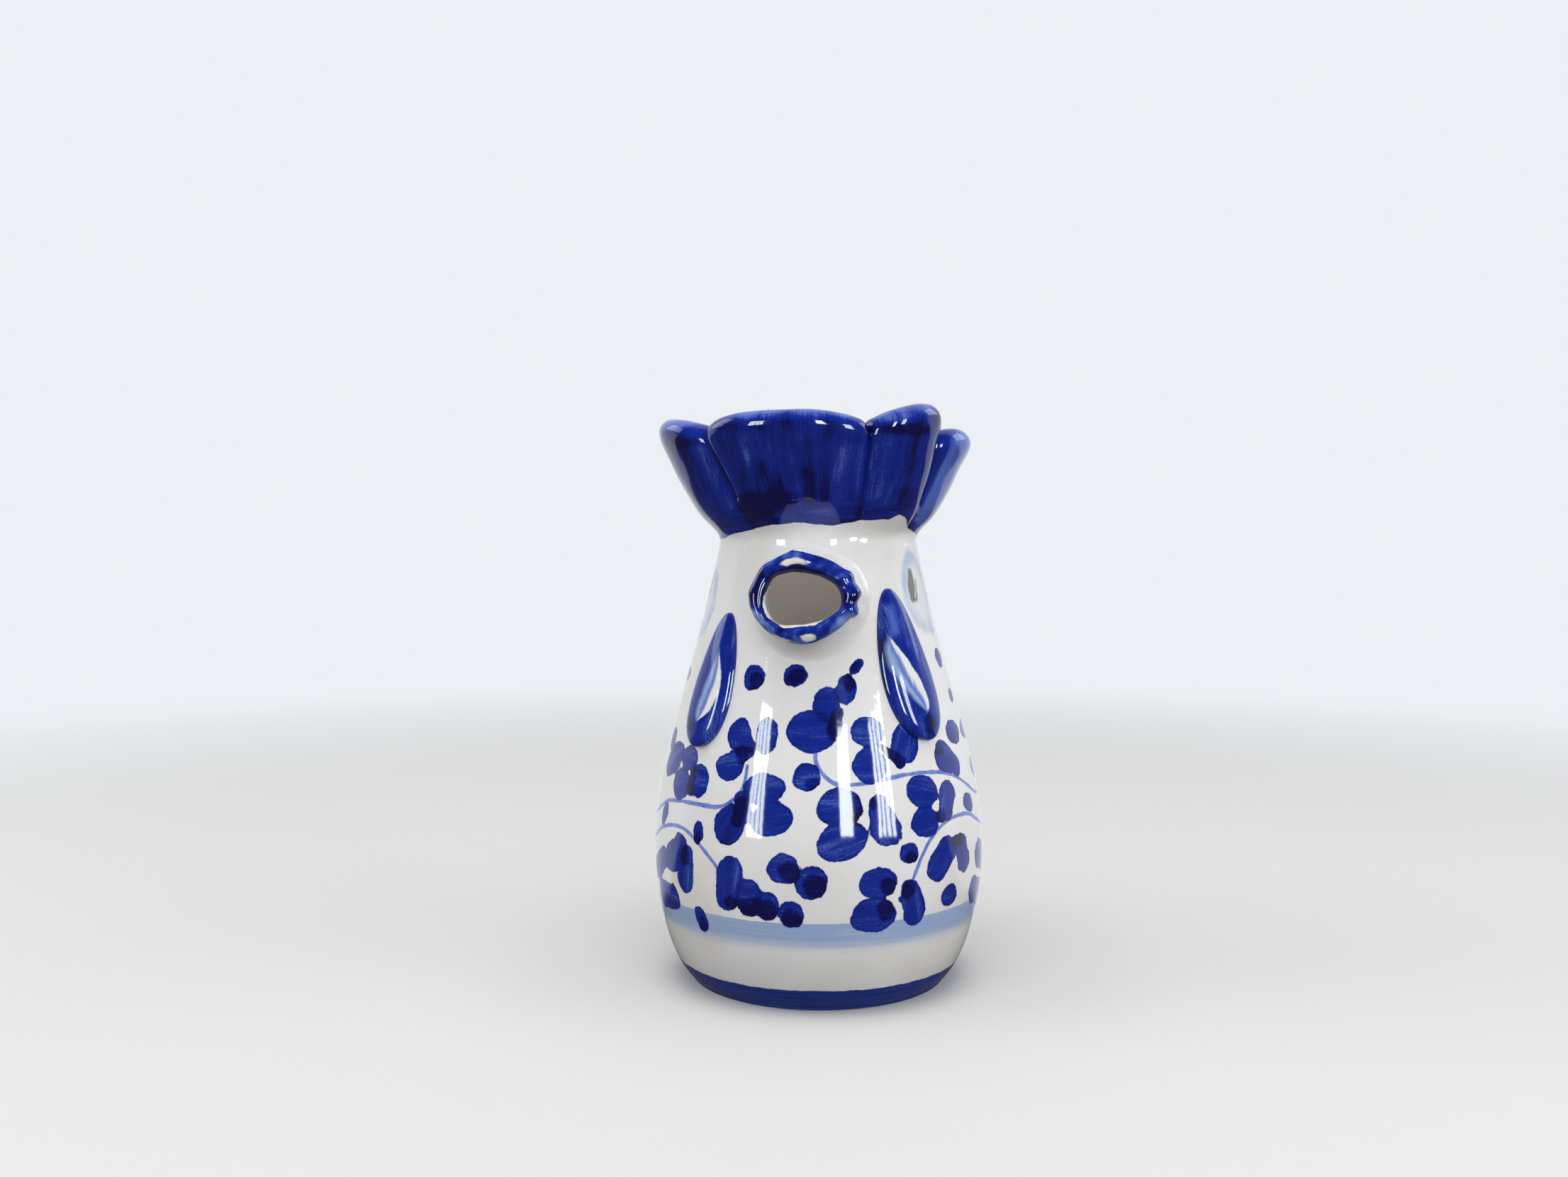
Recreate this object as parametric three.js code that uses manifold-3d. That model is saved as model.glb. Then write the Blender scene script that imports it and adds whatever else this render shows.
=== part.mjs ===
// A milk jug in the shape of a rooster, in glazed earthenware. Its pear-shaped body has the beak for a
// pouring spout, a comb of rounded lobes round the mouth, two wattles and a loop handle behind.
// Millimetres, +Z up. The beak faces -Y, and the origin is the middle of the resting face.
import * as THREE from 'three';
import { mergeVertices } from 'three/addons/utils/BufferGeometryUtils.js';
import Module from 'manifold-3d';

const wasm = await Module();
wasm.setup();

// Glaze colours
const whiteGlaze = 0xf2f0ec;
const cobaltGlaze = 0x24338f;
const glazeRoughness = 0.12;

// Slip joint left open between a piece and the curved wall or neighbour that it is stuck to
const joint = 0.3;

// Body: foot, belly and neck, joined by two smooth curves with these pulls at their ends
const footRadius = 33.5;
const footHeight = 6.4;
const footFlare = 5;
const footRise = 2;
const bellyRadius = 44.8;
const bellyHeight = 34;
const bellyPullDown = 17;
const bellyPullUp = 27;
const neckRadius = 27.2;
const neckHeight = 117;
const neckPullOut = 8;
const neckPullDown = 43;
const wall = 4.5;

// Comb: lobes that stand on the neck rim, parted by creases at these angles from the beak
const creases = [
  { root: -29, rim: -43 },
  { root: 25, rim: 25 },
  { root: 61, rim: 61 },
  { root: 119, rim: 119 },
  { root: 187, rim: 187 },
  { root: 255, rim: 255 },
];
const combRadius = 42.1;
const combRise = 33;
const combLean = -1.2;
const combKnee = 23.6;
const lipThickness = 7;
const lipKnee = 19;
const creaseDepth = 4.8;
const rootCreaseDepth = 0.8;
const lobeRoundness = 2.6;
const lobeDrop = 2.6;
const lobes = [
  { name: 'comb_lobe_front', above: 0.4, tilt: 0.2 },
  { name: 'comb_lobe_right', above: 2.2, tilt: 2.4 },
  { name: 'comb_lobe_far_right', above: -1.8, tilt: 0 },
  { name: 'comb_lobe_back_right', above: 0.4, tilt: 0.6 },
  { name: 'comb_lobe_back_left', above: 0.2, tilt: -0.5 },
  { name: 'comb_lobe_left', above: 0.9, tilt: -1.6 },
];

// Beak spout: an egg-shaped tube, measured from the neck rim down and from the neck's face out
const spoutDrop = 12.5;
const spoutReach = 14.8;
const spoutWidth = 27;
const spoutHeight = 22.2;
const spoutTaper = 0.06;
const spoutRootWidening = 2.6;
const spoutRootDeepening = 6.2;
const spoutRise = 2.4;
const spoutLean = -1;
const spoutTilt = 10;
const spoutLipRound = 1.4;
const spoutHoleWidth = 18.4;
const spoutHoleHeight = 14;
const spoutHoleTaper = 0.22;
const spoutBoreSpread = 1.2;

// Wattles: raised drops on the breast, from their tip below the neck rim to their round end
const wattleRelief = 3.4;
const wattleTipCut = 0.012;
const wattleDomeFullness = 0.8;
const rightWattleDrop = 11;
const rightWattleLength = 38.4;
const rightWattleWidth = 17.2;
const leftWattleDrop = 17.4;
const leftWattleLength = 34.2;
const leftWattleWidth = 14.8;
const wattles = [
  {
    name: 'wattle_right',
    drop: rightWattleDrop,
    length: rightWattleLength,
    width: rightWattleWidth,
    tipAngle: 41,
    endAngle: 47.5,
  },
  {
    name: 'wattle_left',
    drop: leftWattleDrop,
    length: leftWattleLength,
    width: leftWattleWidth,
    tipAngle: -43,
    endAngle: -45,
  },
];

// Handle: a flat loop behind, from below the neck rim to the belly
const handleDrop = 9;
const handleEndHeight = 44;
const handleTopPull = 54;
const handleTopLift = 9;
const handleEndPull = 36;
const handleEndSag = 4;
const handleWidth = 14;
const handleThickness = 9;
const handleFlare = 0.25;

// Fineness of the surfaces
const turnSegments = 72;
const footSteps = 4;
const wallSteps = 13;
const lobeSteps = 10;
const lobeSideSteps = 7;
const lipSteps = 6;
const spoutSides = 32;
const spoutSteps = 7;
const wattleSteps = 11;
const wattleSides = 10;
const handleSteps = 22;
const handleSides = 16;

const footToBelly = new THREE.CubicBezierCurve(
  new THREE.Vector2(footRadius, 0),
  new THREE.Vector2(footRadius + footFlare, footRise),
  new THREE.Vector2(bellyRadius, bellyHeight - bellyPullDown),
  new THREE.Vector2(bellyRadius, bellyHeight),
);
const bellyToNeck = new THREE.CubicBezierCurve(
  new THREE.Vector2(bellyRadius, bellyHeight),
  new THREE.Vector2(bellyRadius, bellyHeight + bellyPullUp),
  new THREE.Vector2(neckRadius + neckPullOut, neckHeight - neckPullDown),
  new THREE.Vector2(neckRadius, neckHeight),
);

// Outer radius of the body at a height, found by halving along the curve that holds it
function bodyRadius(height) {
  const curve = height < bellyHeight ? footToBelly : bellyToNeck;
  let low = 0;
  let high = 1;
  for (let halving = 0; halving < 40; halving += 1) {
    const middle = (low + high) / 2;
    if (curve.getPoint(middle).y < height) {
      low = middle;
    } else {
      high = middle;
    }
  }
  return curve.getPoint(high).x;
}

// Profile of the body's outside between two heights, moved out by a distance
function bodyProfile(from, to, steps, outwards = 0) {
  const points = [];
  for (let step = 0; step <= steps; step += 1) {
    const height = THREE.MathUtils.lerp(from, to, step / steps);
    points.push(new THREE.Vector2(bodyRadius(height) + outwards, height));
  }
  return points;
}

// A profile turned about the jug's axis
function turned(profile) {
  return new THREE.LatheGeometry(profile, turnSegments).rotateX(Math.PI / 2);
}

// The point at an angle from the beak, a radius from the axis and a height
function around(angle, radius, height) {
  return new THREE.Vector3(radius * Math.sin(angle), -radius * Math.cos(angle), height);
}

// Skins a row of outlines with equal point counts, placed one by one, and closes both ends
function loft(outlines, place) {
  const count = outlines[0].length;
  const last = outlines.length - 1;
  const positions = outlines.flatMap((outline, station) => (
    outline.flatMap((point) => place(point, station).toArray())
  ));
  const faces = [];
  for (let station = 0; station < last; station += 1) {
    for (let corner = 0; corner < count; corner += 1) {
      const here = station * count + corner;
      const beside = station * count + ((corner + 1) % count);
      faces.push(here, beside, beside + count, here, beside + count, here + count);
    }
  }
  for (const [a, b, c] of THREE.ShapeUtils.triangulateShape(outlines[0], [])) {
    faces.push(c, b, a);
  }
  for (const [a, b, c] of THREE.ShapeUtils.triangulateShape(outlines[last], [])) {
    faces.push(last * count + a, last * count + b, last * count + c);
  }
  const geometry = new THREE.BufferGeometry();
  geometry.setAttribute('position', new THREE.Float32BufferAttribute(positions, 3));
  geometry.setIndex(faces);
  geometry.computeVertexNormals();
  return geometry;
}

// A geometry as a solid that can be cut, and back
function toSolid(geometry) {
  const bare = new THREE.BufferGeometry();
  bare.setAttribute('position', geometry.getAttribute('position'));
  bare.setIndex(geometry.getIndex());
  const merged = mergeVertices(bare);
  return new wasm.Manifold(new wasm.Mesh({
    numProp: 3,
    vertProperties: merged.getAttribute('position').array,
    triVerts: new Uint32Array(merged.getIndex().array),
  }));
}

function toGeometry(solid) {
  const mesh = solid.getMesh();
  const geometry = new THREE.BufferGeometry();
  geometry.setAttribute('position', new THREE.BufferAttribute(mesh.vertProperties, 3));
  geometry.setIndex(new THREE.BufferAttribute(mesh.triVerts, 1));
  geometry.computeVertexNormals();
  return geometry;
}

// The space inside the body's outside face and its slip joint, which trims what is stuck on
function bodyTrimmer() {
  return toSolid(turned([
    new THREE.Vector2(0, 0),
    ...bodyProfile(0, neckHeight, wallSteps, joint),
    new THREE.Vector2(0, neckHeight),
  ]));
}

// Foot and floor in one slab
function baseSlab() {
  return turned([
    new THREE.Vector2(0, 0),
    ...bodyProfile(0, footHeight, footSteps),
    new THREE.Vector2(0, footHeight),
  ]);
}

// Hollow wall from the slab to the neck rim, pierced behind the beak
function bodyWall(bore) {
  const outside = bodyProfile(footHeight, neckHeight, wallSteps);
  const inside = bodyProfile(footHeight, neckHeight, wallSteps, -wall).reverse();
  const shell = turned([...outside, ...inside, outside[0]]);
  return toGeometry(toSolid(shell).subtract(bore));
}

// Upright section of a lobe, where across runs from -1 at its first crease to 1 at its second
function lobeOutline(lobe, across) {
  const dip = Math.abs(across) ** lobeRoundness;
  const rim = combRadius - creaseDepth * dip;
  const root = neckRadius - rootCreaseDepth * dip;
  const lipRadius = lipThickness / 2;
  const top = neckHeight + combRise + lobe.above + lobe.tilt * across - lobeDrop * dip;
  const lipHeight = top - lipRadius;
  const outside = new THREE.QuadraticBezierCurve(
    new THREE.Vector2(root, neckHeight),
    new THREE.Vector2(rim, neckHeight + combKnee),
    new THREE.Vector2(rim, lipHeight),
  );
  const lip = new THREE.ArcCurve(rim - lipRadius, lipHeight, lipRadius, 0, Math.PI, false);
  const inside = new THREE.QuadraticBezierCurve(
    new THREE.Vector2(rim - lipThickness, lipHeight),
    new THREE.Vector2(rim - lipThickness, neckHeight + lipKnee),
    new THREE.Vector2(neckRadius - wall, neckHeight),
  );
  return [
    ...outside.getPoints(lobeSideSteps),
    ...lip.getPoints(lipSteps).slice(1),
    ...inside.getPoints(lobeSideSteps).slice(1),
  ];
}

// Angle of a crease at a share of the comb's rise, counted on past a full turn
function creaseAngle(index, share) {
  const { root, rim } = creases[index % creases.length];
  const turns = Math.floor(index / creases.length);
  return THREE.MathUtils.degToRad(THREE.MathUtils.lerp(root, rim, share) + 360 * turns);
}

// One lobe, its sections standing round the axis from its second crease back to its first
function combLobe(lobe, index) {
  const outlines = [];
  for (let step = 0; step <= lobeSteps; step += 1) {
    outlines.push(lobeOutline(lobe, Math.cos((Math.PI * step) / lobeSteps)));
  }
  return loft(outlines, (point, step) => {
    const across = Math.cos((Math.PI * step) / lobeSteps);
    const share = (point.y - neckHeight) / combRise;
    const first = creaseAngle(index, share);
    const second = creaseAngle(index + 1, share);
    const angle = THREE.MathUtils.mapLinear(across, -1, 1, first, second);
    const sideways = new THREE.Vector3(Math.cos(angle), Math.sin(angle), 0);
    const placed = around(angle, point.x, point.y);
    placed.addScaledVector(sideways, (-joint / 2) * across);
    placed.x += combLean * share;
    return placed;
  });
}

// Egg-shaped outline that narrows towards +X
function egg(width, height, taper) {
  const points = [];
  for (let side = 0; side < spoutSides; side += 1) {
    const turn = (2 * Math.PI * side) / spoutSides;
    const narrowing = 1 - taper * Math.cos(turn);
    points.push(new THREE.Vector2(
      (width / 2) * Math.cos(turn),
      (height / 2) * Math.sin(turn) * narrowing,
    ));
  }
  return points;
}

// A tube along the beak, from rows of its distance out of the neck's face and its outline
function alongBeak(rows) {
  const mouthHeight = neckHeight - spoutDrop;
  const face = bodyRadius(mouthHeight);
  return loft(rows.map((row) => row.outline), (point, station) => {
    const share = THREE.MathUtils.clamp(rows[station].out / spoutReach, 0, 1);
    const lean = Math.tan(THREE.MathUtils.degToRad(spoutTilt * share));
    return new THREE.Vector3(
      point.x + spoutLean * share,
      -face - rows[station].out + lean * point.y,
      mouthHeight - spoutRise * (1 - share) + point.y,
    );
  });
}

// The outside of the beak, widening towards its root and rounded at its lip
function beakOutside() {
  const rows = [];
  for (let step = 0; step <= spoutSteps; step += 1) {
    const share = step / spoutSteps;
    const out = THREE.MathUtils.lerp(-wall, spoutReach - spoutLipRound, share);
    const spread = (1 - Math.max(out, 0) / spoutReach) ** 2;
    const width = spoutWidth + spoutRootWidening * spread;
    const height = spoutHeight + spoutRootDeepening * spread;
    rows.push({ out, outline: egg(width, height, spoutTaper) });
  }
  const rounding = 2 * spoutLipRound;
  rows.push({
    out: spoutReach,
    outline: egg(spoutWidth - rounding, spoutHeight - rounding, spoutTaper),
  });
  return toSolid(alongBeak(rows));
}

// The bore of the beak, from inside the jug to past the mouth, rounded at the lip
function beakBore() {
  const hole = (spread) => (
    egg(spoutHoleWidth + 2 * spread, spoutHoleHeight + 2 * spread, spoutHoleTaper)
  );
  return toSolid(alongBeak([
    { out: -3 * wall, outline: hole(spoutBoreSpread) },
    { out: 0, outline: hole(spoutBoreSpread) },
    { out: spoutReach - spoutLipRound, outline: hole(0) },
    { out: spoutReach + spoutLipRound, outline: hole(2 * spoutLipRound) },
  ]));
}

// Half-width of a drop at a share of its length from the tip, as a share of its greatest
function dropShare(share) {
  const greatest = 0.727;
  return Math.sqrt(share * (1 - share ** 4)) / greatest;
}

// A wattle, its sections lying across it from the tip down
function wattle({ drop, length, width, tipAngle, endAngle }) {
  const shares = [];
  for (let step = 0; step <= wattleSteps; step += 1) {
    const eased = (1 - Math.cos((Math.PI * step) / wattleSteps)) / 2;
    shares.push(THREE.MathUtils.lerp(wattleTipCut, 1 - wattleTipCut, eased));
  }
  const outlines = shares.map((share) => {
    const half = (width / 2) * dropShare(share);
    const relief = wattleRelief * Math.sqrt(dropShare(share));
    const base = [];
    const crown = [];
    for (let side = 0; side < wattleSides; side += 1) {
      const turn = (Math.PI * side) / wattleSides;
      base.push(new THREE.Vector2(-half * Math.cos(turn), 0));
      crown.push(new THREE.Vector2(half * Math.cos(turn), relief * Math.sin(turn) ** wattleDomeFullness));
    }
    return [...base, ...crown];
  });
  return loft(outlines, (point, station) => {
    const height = neckHeight - drop - length * shares[station];
    const angle = THREE.MathUtils.degToRad(THREE.MathUtils.lerp(tipAngle, endAngle, shares[station]));
    const radius = bodyRadius(height) + joint;
    return around(angle + point.x / radius, radius + point.y, height);
  });
}

// The loop handle, its oval sections following a curve behind the jug
function handle(trimmer) {
  const topHeight = neckHeight - handleDrop;
  const topRadius = bodyRadius(topHeight);
  const endRadius = bodyRadius(handleEndHeight);
  const path = new THREE.CubicBezierCurve3(
    new THREE.Vector3(0, topRadius - wall / 2, topHeight),
    new THREE.Vector3(0, topRadius + handleTopPull, topHeight + handleTopLift),
    new THREE.Vector3(0, endRadius + handleEndPull, handleEndHeight - handleEndSag),
    new THREE.Vector3(0, endRadius - wall / 2, handleEndHeight),
  );
  const outlines = [];
  for (let step = 0; step <= handleSteps; step += 1) {
    const spread = 1 + handleFlare * ((2 * step) / handleSteps - 1) ** 4;
    const outline = new THREE.EllipseCurve(
      0, 0, (handleWidth / 2) * spread, (handleThickness / 2) * spread,
    );
    outlines.push(outline.getPoints(handleSides).slice(1));
  }
  const tube = loft(outlines, (point, step) => {
    const centre = path.getPointAt(step / handleSteps);
    const tangent = path.getTangentAt(step / handleSteps);
    const across = new THREE.Vector3(1, 0, 0);
    const upwards = new THREE.Vector3().crossVectors(tangent, across);
    return centre.addScaledVector(across, point.x).addScaledVector(upwards, point.y);
  });
  return toGeometry(toSolid(tube).subtract(trimmer));
}

const jug = new THREE.Group();

function addPiece(name, geometry, color) {
  const glaze = new THREE.MeshStandardMaterial({ color, roughness: glazeRoughness, metalness: 0 });
  const piece = new THREE.Mesh(geometry, glaze);
  piece.name = name;
  jug.add(piece);
}

const trimmer = bodyTrimmer();
const bore = beakBore();
addPiece('base_slab', baseSlab(), cobaltGlaze);
addPiece('body_wall', bodyWall(bore), whiteGlaze);
addPiece('beak_spout', toGeometry(beakOutside().subtract(trimmer).subtract(bore)), whiteGlaze);
lobes.forEach((lobe, index) => addPiece(lobe.name, combLobe(lobe, index), cobaltGlaze));
wattles.forEach((drop) => addPiece(drop.name, wattle(drop), cobaltGlaze));
addPiece('handle', handle(trimmer), whiteGlaze);

export default jug;
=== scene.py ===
"""A milk jug in the shape of a rooster: white glazed earthenware with cobalt-blue brushwork.

The beak faces -Y. Angles are counted from the beak towards +X, in degrees, and heights from the table.
"""

import math

import bpy
import numpy as np
from bpy.props import FloatProperty, FloatVectorProperty, PointerProperty
from bpy.types import Operator, Panel, PropertyGroup
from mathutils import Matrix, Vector
from mathutils.kdtree import KDTree


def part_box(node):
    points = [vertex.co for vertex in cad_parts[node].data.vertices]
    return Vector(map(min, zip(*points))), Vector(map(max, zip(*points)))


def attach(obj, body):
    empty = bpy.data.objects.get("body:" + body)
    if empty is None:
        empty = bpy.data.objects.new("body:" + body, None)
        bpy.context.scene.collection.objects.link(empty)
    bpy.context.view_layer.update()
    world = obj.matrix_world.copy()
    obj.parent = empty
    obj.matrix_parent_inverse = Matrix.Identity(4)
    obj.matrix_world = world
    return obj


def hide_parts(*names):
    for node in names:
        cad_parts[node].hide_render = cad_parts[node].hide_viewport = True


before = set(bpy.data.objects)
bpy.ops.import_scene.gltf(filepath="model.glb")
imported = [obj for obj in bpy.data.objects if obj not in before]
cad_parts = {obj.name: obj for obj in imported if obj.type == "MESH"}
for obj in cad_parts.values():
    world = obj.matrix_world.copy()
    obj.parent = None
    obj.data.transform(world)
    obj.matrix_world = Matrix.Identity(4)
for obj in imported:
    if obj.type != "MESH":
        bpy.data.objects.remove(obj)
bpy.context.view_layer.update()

bl_info = {
    "name": "Rooster Milk Jug",
    "version": (1, 0, 0),
    "blender": (4, 5, 0),
    "location": "View3D > Sidebar > Milk Jug",
    "description": "Models, glazes and paints a rooster milk jug and sets its stage",
    "category": "Object",
}

MM = 0.001

# A distance in millimetres at which no paint shows
FAR = 99.0

FULL_TURN = 2 * math.pi


def length(name, millimetres, description):
    """A size, written in millimetres."""
    return FloatProperty(
        name=name, description=description, default=millimetres * MM, unit="LENGTH", precision=4
    )


def angle(name, degrees, description):
    """An angle, written in degrees."""
    return FloatProperty(
        name=name, description=description, default=math.radians(degrees), subtype="ANGLE"
    )


def amount(name, value, description):
    """A plain number."""
    return FloatProperty(name=name, description=description, default=value)


def seen_colour(red, green, blue):
    """A colour read off a screen from 0 to 255, as the light that it stands for."""
    levels = np.array([red, green, blue]) / 255
    return tuple(np.where(levels < 0.04045, levels / 12.92, ((levels + 0.055) / 1.055) ** 2.4))


def colour(name, red, green, blue, description):
    """A colour, written as a screen shows it."""
    return FloatVectorProperty(
        name=name,
        description=description,
        default=seen_colour(red, green, blue),
        subtype="COLOR",
        size=3,
        min=0.0,
        max=1.0,
    )


class JugBody(PropertyGroup):
    """Foot, belly and neck, joined by two smooth curves."""

    foot_radius: length("Foot radius", 33.5, "Radius of the resting face")
    foot_height: length("Foot height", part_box("base_slab")[1].z / MM, "Thickness of the base slab")
    foot_flare: length("Foot flare", 5, "How far the lower curve leaves the foot outwards")
    foot_rise: length("Foot rise", 2, "How far the lower curve leaves the foot upwards")
    foot_round: length("Foot rounding", 0.9, "Rounding of the edge that stands on the table")
    belly_radius: length("Belly radius", 44.8, "Greatest radius of the body")
    belly_height: length("Belly height", 34, "Height of the greatest radius")
    belly_pull_down: length("Belly fullness below", 17, "Pull of the lower curve at the belly")
    belly_pull_up: length("Belly fullness above", 26.5, "Pull of the upper curve at the belly")
    neck_radius: length("Neck radius", 27.0, "Radius of the neck rim")
    neck_height: length("Neck height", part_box("body_wall")[1].z / MM, "Height of the neck rim")
    neck_pull_out: length("Neck widening", 9, "How far the upper curve is wider below the rim")
    neck_pull_down: length("Neck length", 43, "Pull of the upper curve at the neck rim")
    wall: length("Wall", 4.5, "Thickness of the wall")


class JugComb(PropertyGroup):
    """Lobes that stand on the neck rim."""

    radius: length("Comb radius", 42.1, "Outer radius at the top of a lobe")
    rise: length("Comb rise", 33, "Height of the comb above the neck rim")
    lean: length("Comb lean", -1.2, "How far the top of the comb leans to the right")
    knee: length("Comb knee", 23.6, "Height at which the outside turns upright")
    lip: length("Lip thickness", 7, "Thickness of the rounded lip")
    lip_knee: length("Lip knee", 19, "Height at which the inside turns upright")
    roll: length("Lip roll", 0.3, "How far the lip stands proud of the lobe's face")
    crease: length("Crease depth", 4.8, "How far the outside falls back at a common crease")
    drop: length("Lobe drop", 2.6, "How far the top falls at a crease")
    roundness: amount("Lobe roundness", 2.8, "How late a lobe falls off towards its creases")
    edge_round: length("Edge rounding", 3.4, "Rounding of a lobe's sides")
    overlap: length("Overlap", 1.2, "How far neighbouring lobes are pressed into each other")
    fillet: length("Root fillet", 4.8, "Softness of the hollow between neck and comb")


class JugBeak(PropertyGroup):
    """The beak, a short tube with an egg-shaped mouth."""

    drop: length("Beak drop", 12.5, "Depth of the mouth's middle below the neck rim")
    reach: length("Beak reach", 14.8, "How far the lip stands out of the neck's face")
    width: length("Beak width", 26.2, "Outer width at the lip")
    height: length("Beak height", 22.2, "Outer height at the lip")
    taper: amount("Beak taper", 0.06, "How much the outside narrows to the right")
    root_width: length("Root width", 32.5, "Width where the beak runs into the neck")
    root_height: length("Root height", 30.5, "Height where the beak runs into the neck")
    root_drop: length("Root drop", 1.8, "How far the root lies below the mouth")
    lean: length("Beak lean", -0.7, "How far the mouth leans to the right")
    tilt: angle("Mouth tilt", 10, "How far the mouth looks up")
    bead: length("Lip bead", 2.3, "How far the lip bulges forward")
    hole_width: length("Mouth width", 18.6, "Width of the opening")
    hole_height: length("Mouth height", 12.4, "Height of the opening")
    hole_drop: length("Mouth drop", 0.4, "How far the opening's middle lies below the bead's")
    hole_taper: amount("Mouth taper", 0.22, "How much the opening narrows to the right")
    hole_fullness: amount("Mouth fullness", 0.25, "How blunt the opening's two ends are")
    bore_spread: length("Bore widening", 1.2, "How much wider the bore is inside the jug")


class JugWattles(PropertyGroup):
    """Raised drops on the breast, from their tip below the neck rim to their round end."""

    relief: length("Wattle relief", 3.4, "How far a wattle stands out")
    right_drop: length("Right drop", 11, "Depth of the right tip below the neck rim")
    right_length: length("Right length", 38.4, "Length of the right wattle")
    right_width: length("Right width", 17.2, "Width of the right wattle")
    right_tip: angle("Right tip", 41, "Place of the right tip round the jug")
    right_end: angle("Right end", 47.5, "Place of the right round end")
    left_drop: length("Left drop", 17.4, "Depth of the left tip below the neck rim")
    left_length: length("Left length", 34.2, "Length of the left wattle")
    left_width: length("Left width", 14.8, "Width of the left wattle")
    left_tip: angle("Left tip", -43, "Place of the left tip round the jug")
    left_end: angle("Left end", -45, "Place of the left round end")


class JugHandle(PropertyGroup):
    """The flat loop behind."""

    drop: length("Handle drop", 9, "Depth of the upper root below the neck rim")
    end_height: length("Lower root", 44, "Height of the lower root")
    top_pull: length("Upper reach", 54, "Pull of the loop at its upper root")
    top_lift: length("Upper lift", 9, "How far the upper pull rises")
    end_pull: length("Lower reach", 36, "Pull of the loop at its lower root")
    end_sag: length("Lower sag", 4, "How far the lower pull sinks")
    width: length("Handle width", 14, "Width of the strap")
    thickness: length("Handle thickness", 9, "Thickness of the strap")
    flare: amount("Root flare", 0.25, "Share by which the strap widens towards its roots")
    fillet: amount("Root fillet", 0.3, "Share by which the clay spreads on the wall")


class JugPaint(PropertyGroup):
    """Glaze, pigments and bare clay."""

    white: colour("White glaze", 233, 233, 233, "Glaze over the pale clay")
    warm: colour("Warm glaze", 227, 225, 220, "Glaze where it runs thin over the clay")
    cobalt: colour("Cobalt", 18, 41, 142, "A single coat of the blue")
    thin: colour("Thin cobalt", 82, 108, 190, "Blue where the brush runs dry")
    navy: colour("Pooled cobalt", 11, 11, 74, "Blue where the brush stopped or crossed itself")
    pale: colour("Pale blue", 150, 174, 215, "Watered blue of the upper band, eyes, wattles and bead")
    vine: colour("Vine blue", 84, 114, 200, "Watered blue of the thin tendrils")
    foot: colour("Foot blue", 33, 60, 148, "Blue of the band round the foot")
    pupil: colour("Pupil", 96, 98, 84, "Olive grey of the eyes")
    chip: colour("Chip", 232, 225, 217, "Glaze where the paint has chipped off the beak")
    clay: colour("Clay", 216, 202, 184, "Bare clay under the foot")
    # Painted warm light: the inside is tinted warm, standing in for the warm light that falls in there
    inside: colour("Inside", 244, 236, 226, "Warm glaze inside the body")


class JugStage(PropertyGroup):
    """Camera, lights and floor."""

    camera_distance: length("Camera distance", 370, "From the jug's axis to the camera, level")
    camera_height: length("Camera height", 115.13, "Height of the camera above the table")
    camera_side: angle("Camera side", 4, "Angle of the camera from the beak")
    camera_turn: angle("Camera turn", 1.447, "How far the camera looks left of the jug's axis")
    camera_pitch: angle("Camera pitch", -1.5225, "How far the camera looks up")
    lens: FloatProperty(
        name="Lens", description="Focal length", default=30.92 * MM, unit="CAMERA", precision=4
    )
    light_distance: length("Light distance", 1300, "From the jug's axis to the window lights")
    backdrop: colour("Backdrop", 236, 240, 244, "Pale surroundings behind the jug")
    room: colour("Room", 168, 169, 172, "Even light of the room")
    gloom: colour("Gloom", 62, 62, 64, "What the gloss mirrors on the camera's side")
    table: colour("Table", 86, 80, 74, "Wooden tone that the floor lends to the jug")
    floor: colour("Floor", 222, 221, 219, "The plain pale floor")


class MilkJug(PropertyGroup):
    """All that can be set on the jug."""

    body: PointerProperty(type=JugBody)
    comb: PointerProperty(type=JugComb)
    beak: PointerProperty(type=JugBeak)
    wattles: PointerProperty(type=JugWattles)
    handle: PointerProperty(type=JugHandle)
    paint: PointerProperty(type=JugPaint)
    stage: PointerProperty(type=JugStage)


def settings():
    """All that is set on the jug."""
    return bpy.context.scene.milk_jug


# Shapes shared by the pieces


def bezier(corners, shares):
    """Points on a curve through its control points' first and last, at shares from 0 to 1."""
    row = [np.asarray(corner, float) for corner in corners]
    while len(row) > 1:
        row = [start + (end - start) * shares for start, end in zip(row, row[1:])]
    return row[0]


def ease(values, low, high):
    """0 below low and 1 above high, smooth between them."""
    shares = np.clip((np.asarray(values, float) - low) / (high - low), 0, 1)
    return shares * shares * (3 - 2 * shares)


def around(turn, radius, height):
    """Places at a turn from the beak in radians, a radius from the axis and a height."""
    turn, radius, height = np.broadcast_arrays(turn, radius, height)
    return np.stack([radius * np.sin(turn), -radius * np.cos(turn), height], axis=-1)


# Points along each of the body's two curves
OUTLINE_STEPS = 300


def body_outline(body):
    """Radius and height along the body's outside, from the resting face to the neck rim."""
    shares = np.linspace(0, 1, OUTLINE_STEPS)[:, None]
    belly = (body.belly_radius, body.belly_height)
    lower = bezier([
        (body.foot_radius, 0),
        (body.foot_radius + body.foot_flare, body.foot_rise),
        (body.belly_radius, body.belly_height - body.belly_pull_down),
        belly,
    ], shares)
    upper = bezier([
        belly,
        (body.belly_radius, body.belly_height + body.belly_pull_up),
        (body.neck_radius + body.neck_pull_out, body.neck_height - body.neck_pull_down),
        (body.neck_radius, body.neck_height),
    ], shares)
    return np.vstack([lower, upper[1:]])


def body_radius(heights):
    """Radius of the body's outside at heights."""
    outline = body_outline(settings().body)
    return np.interp(heights, outline[:, 1], outline[:, 0])


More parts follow.
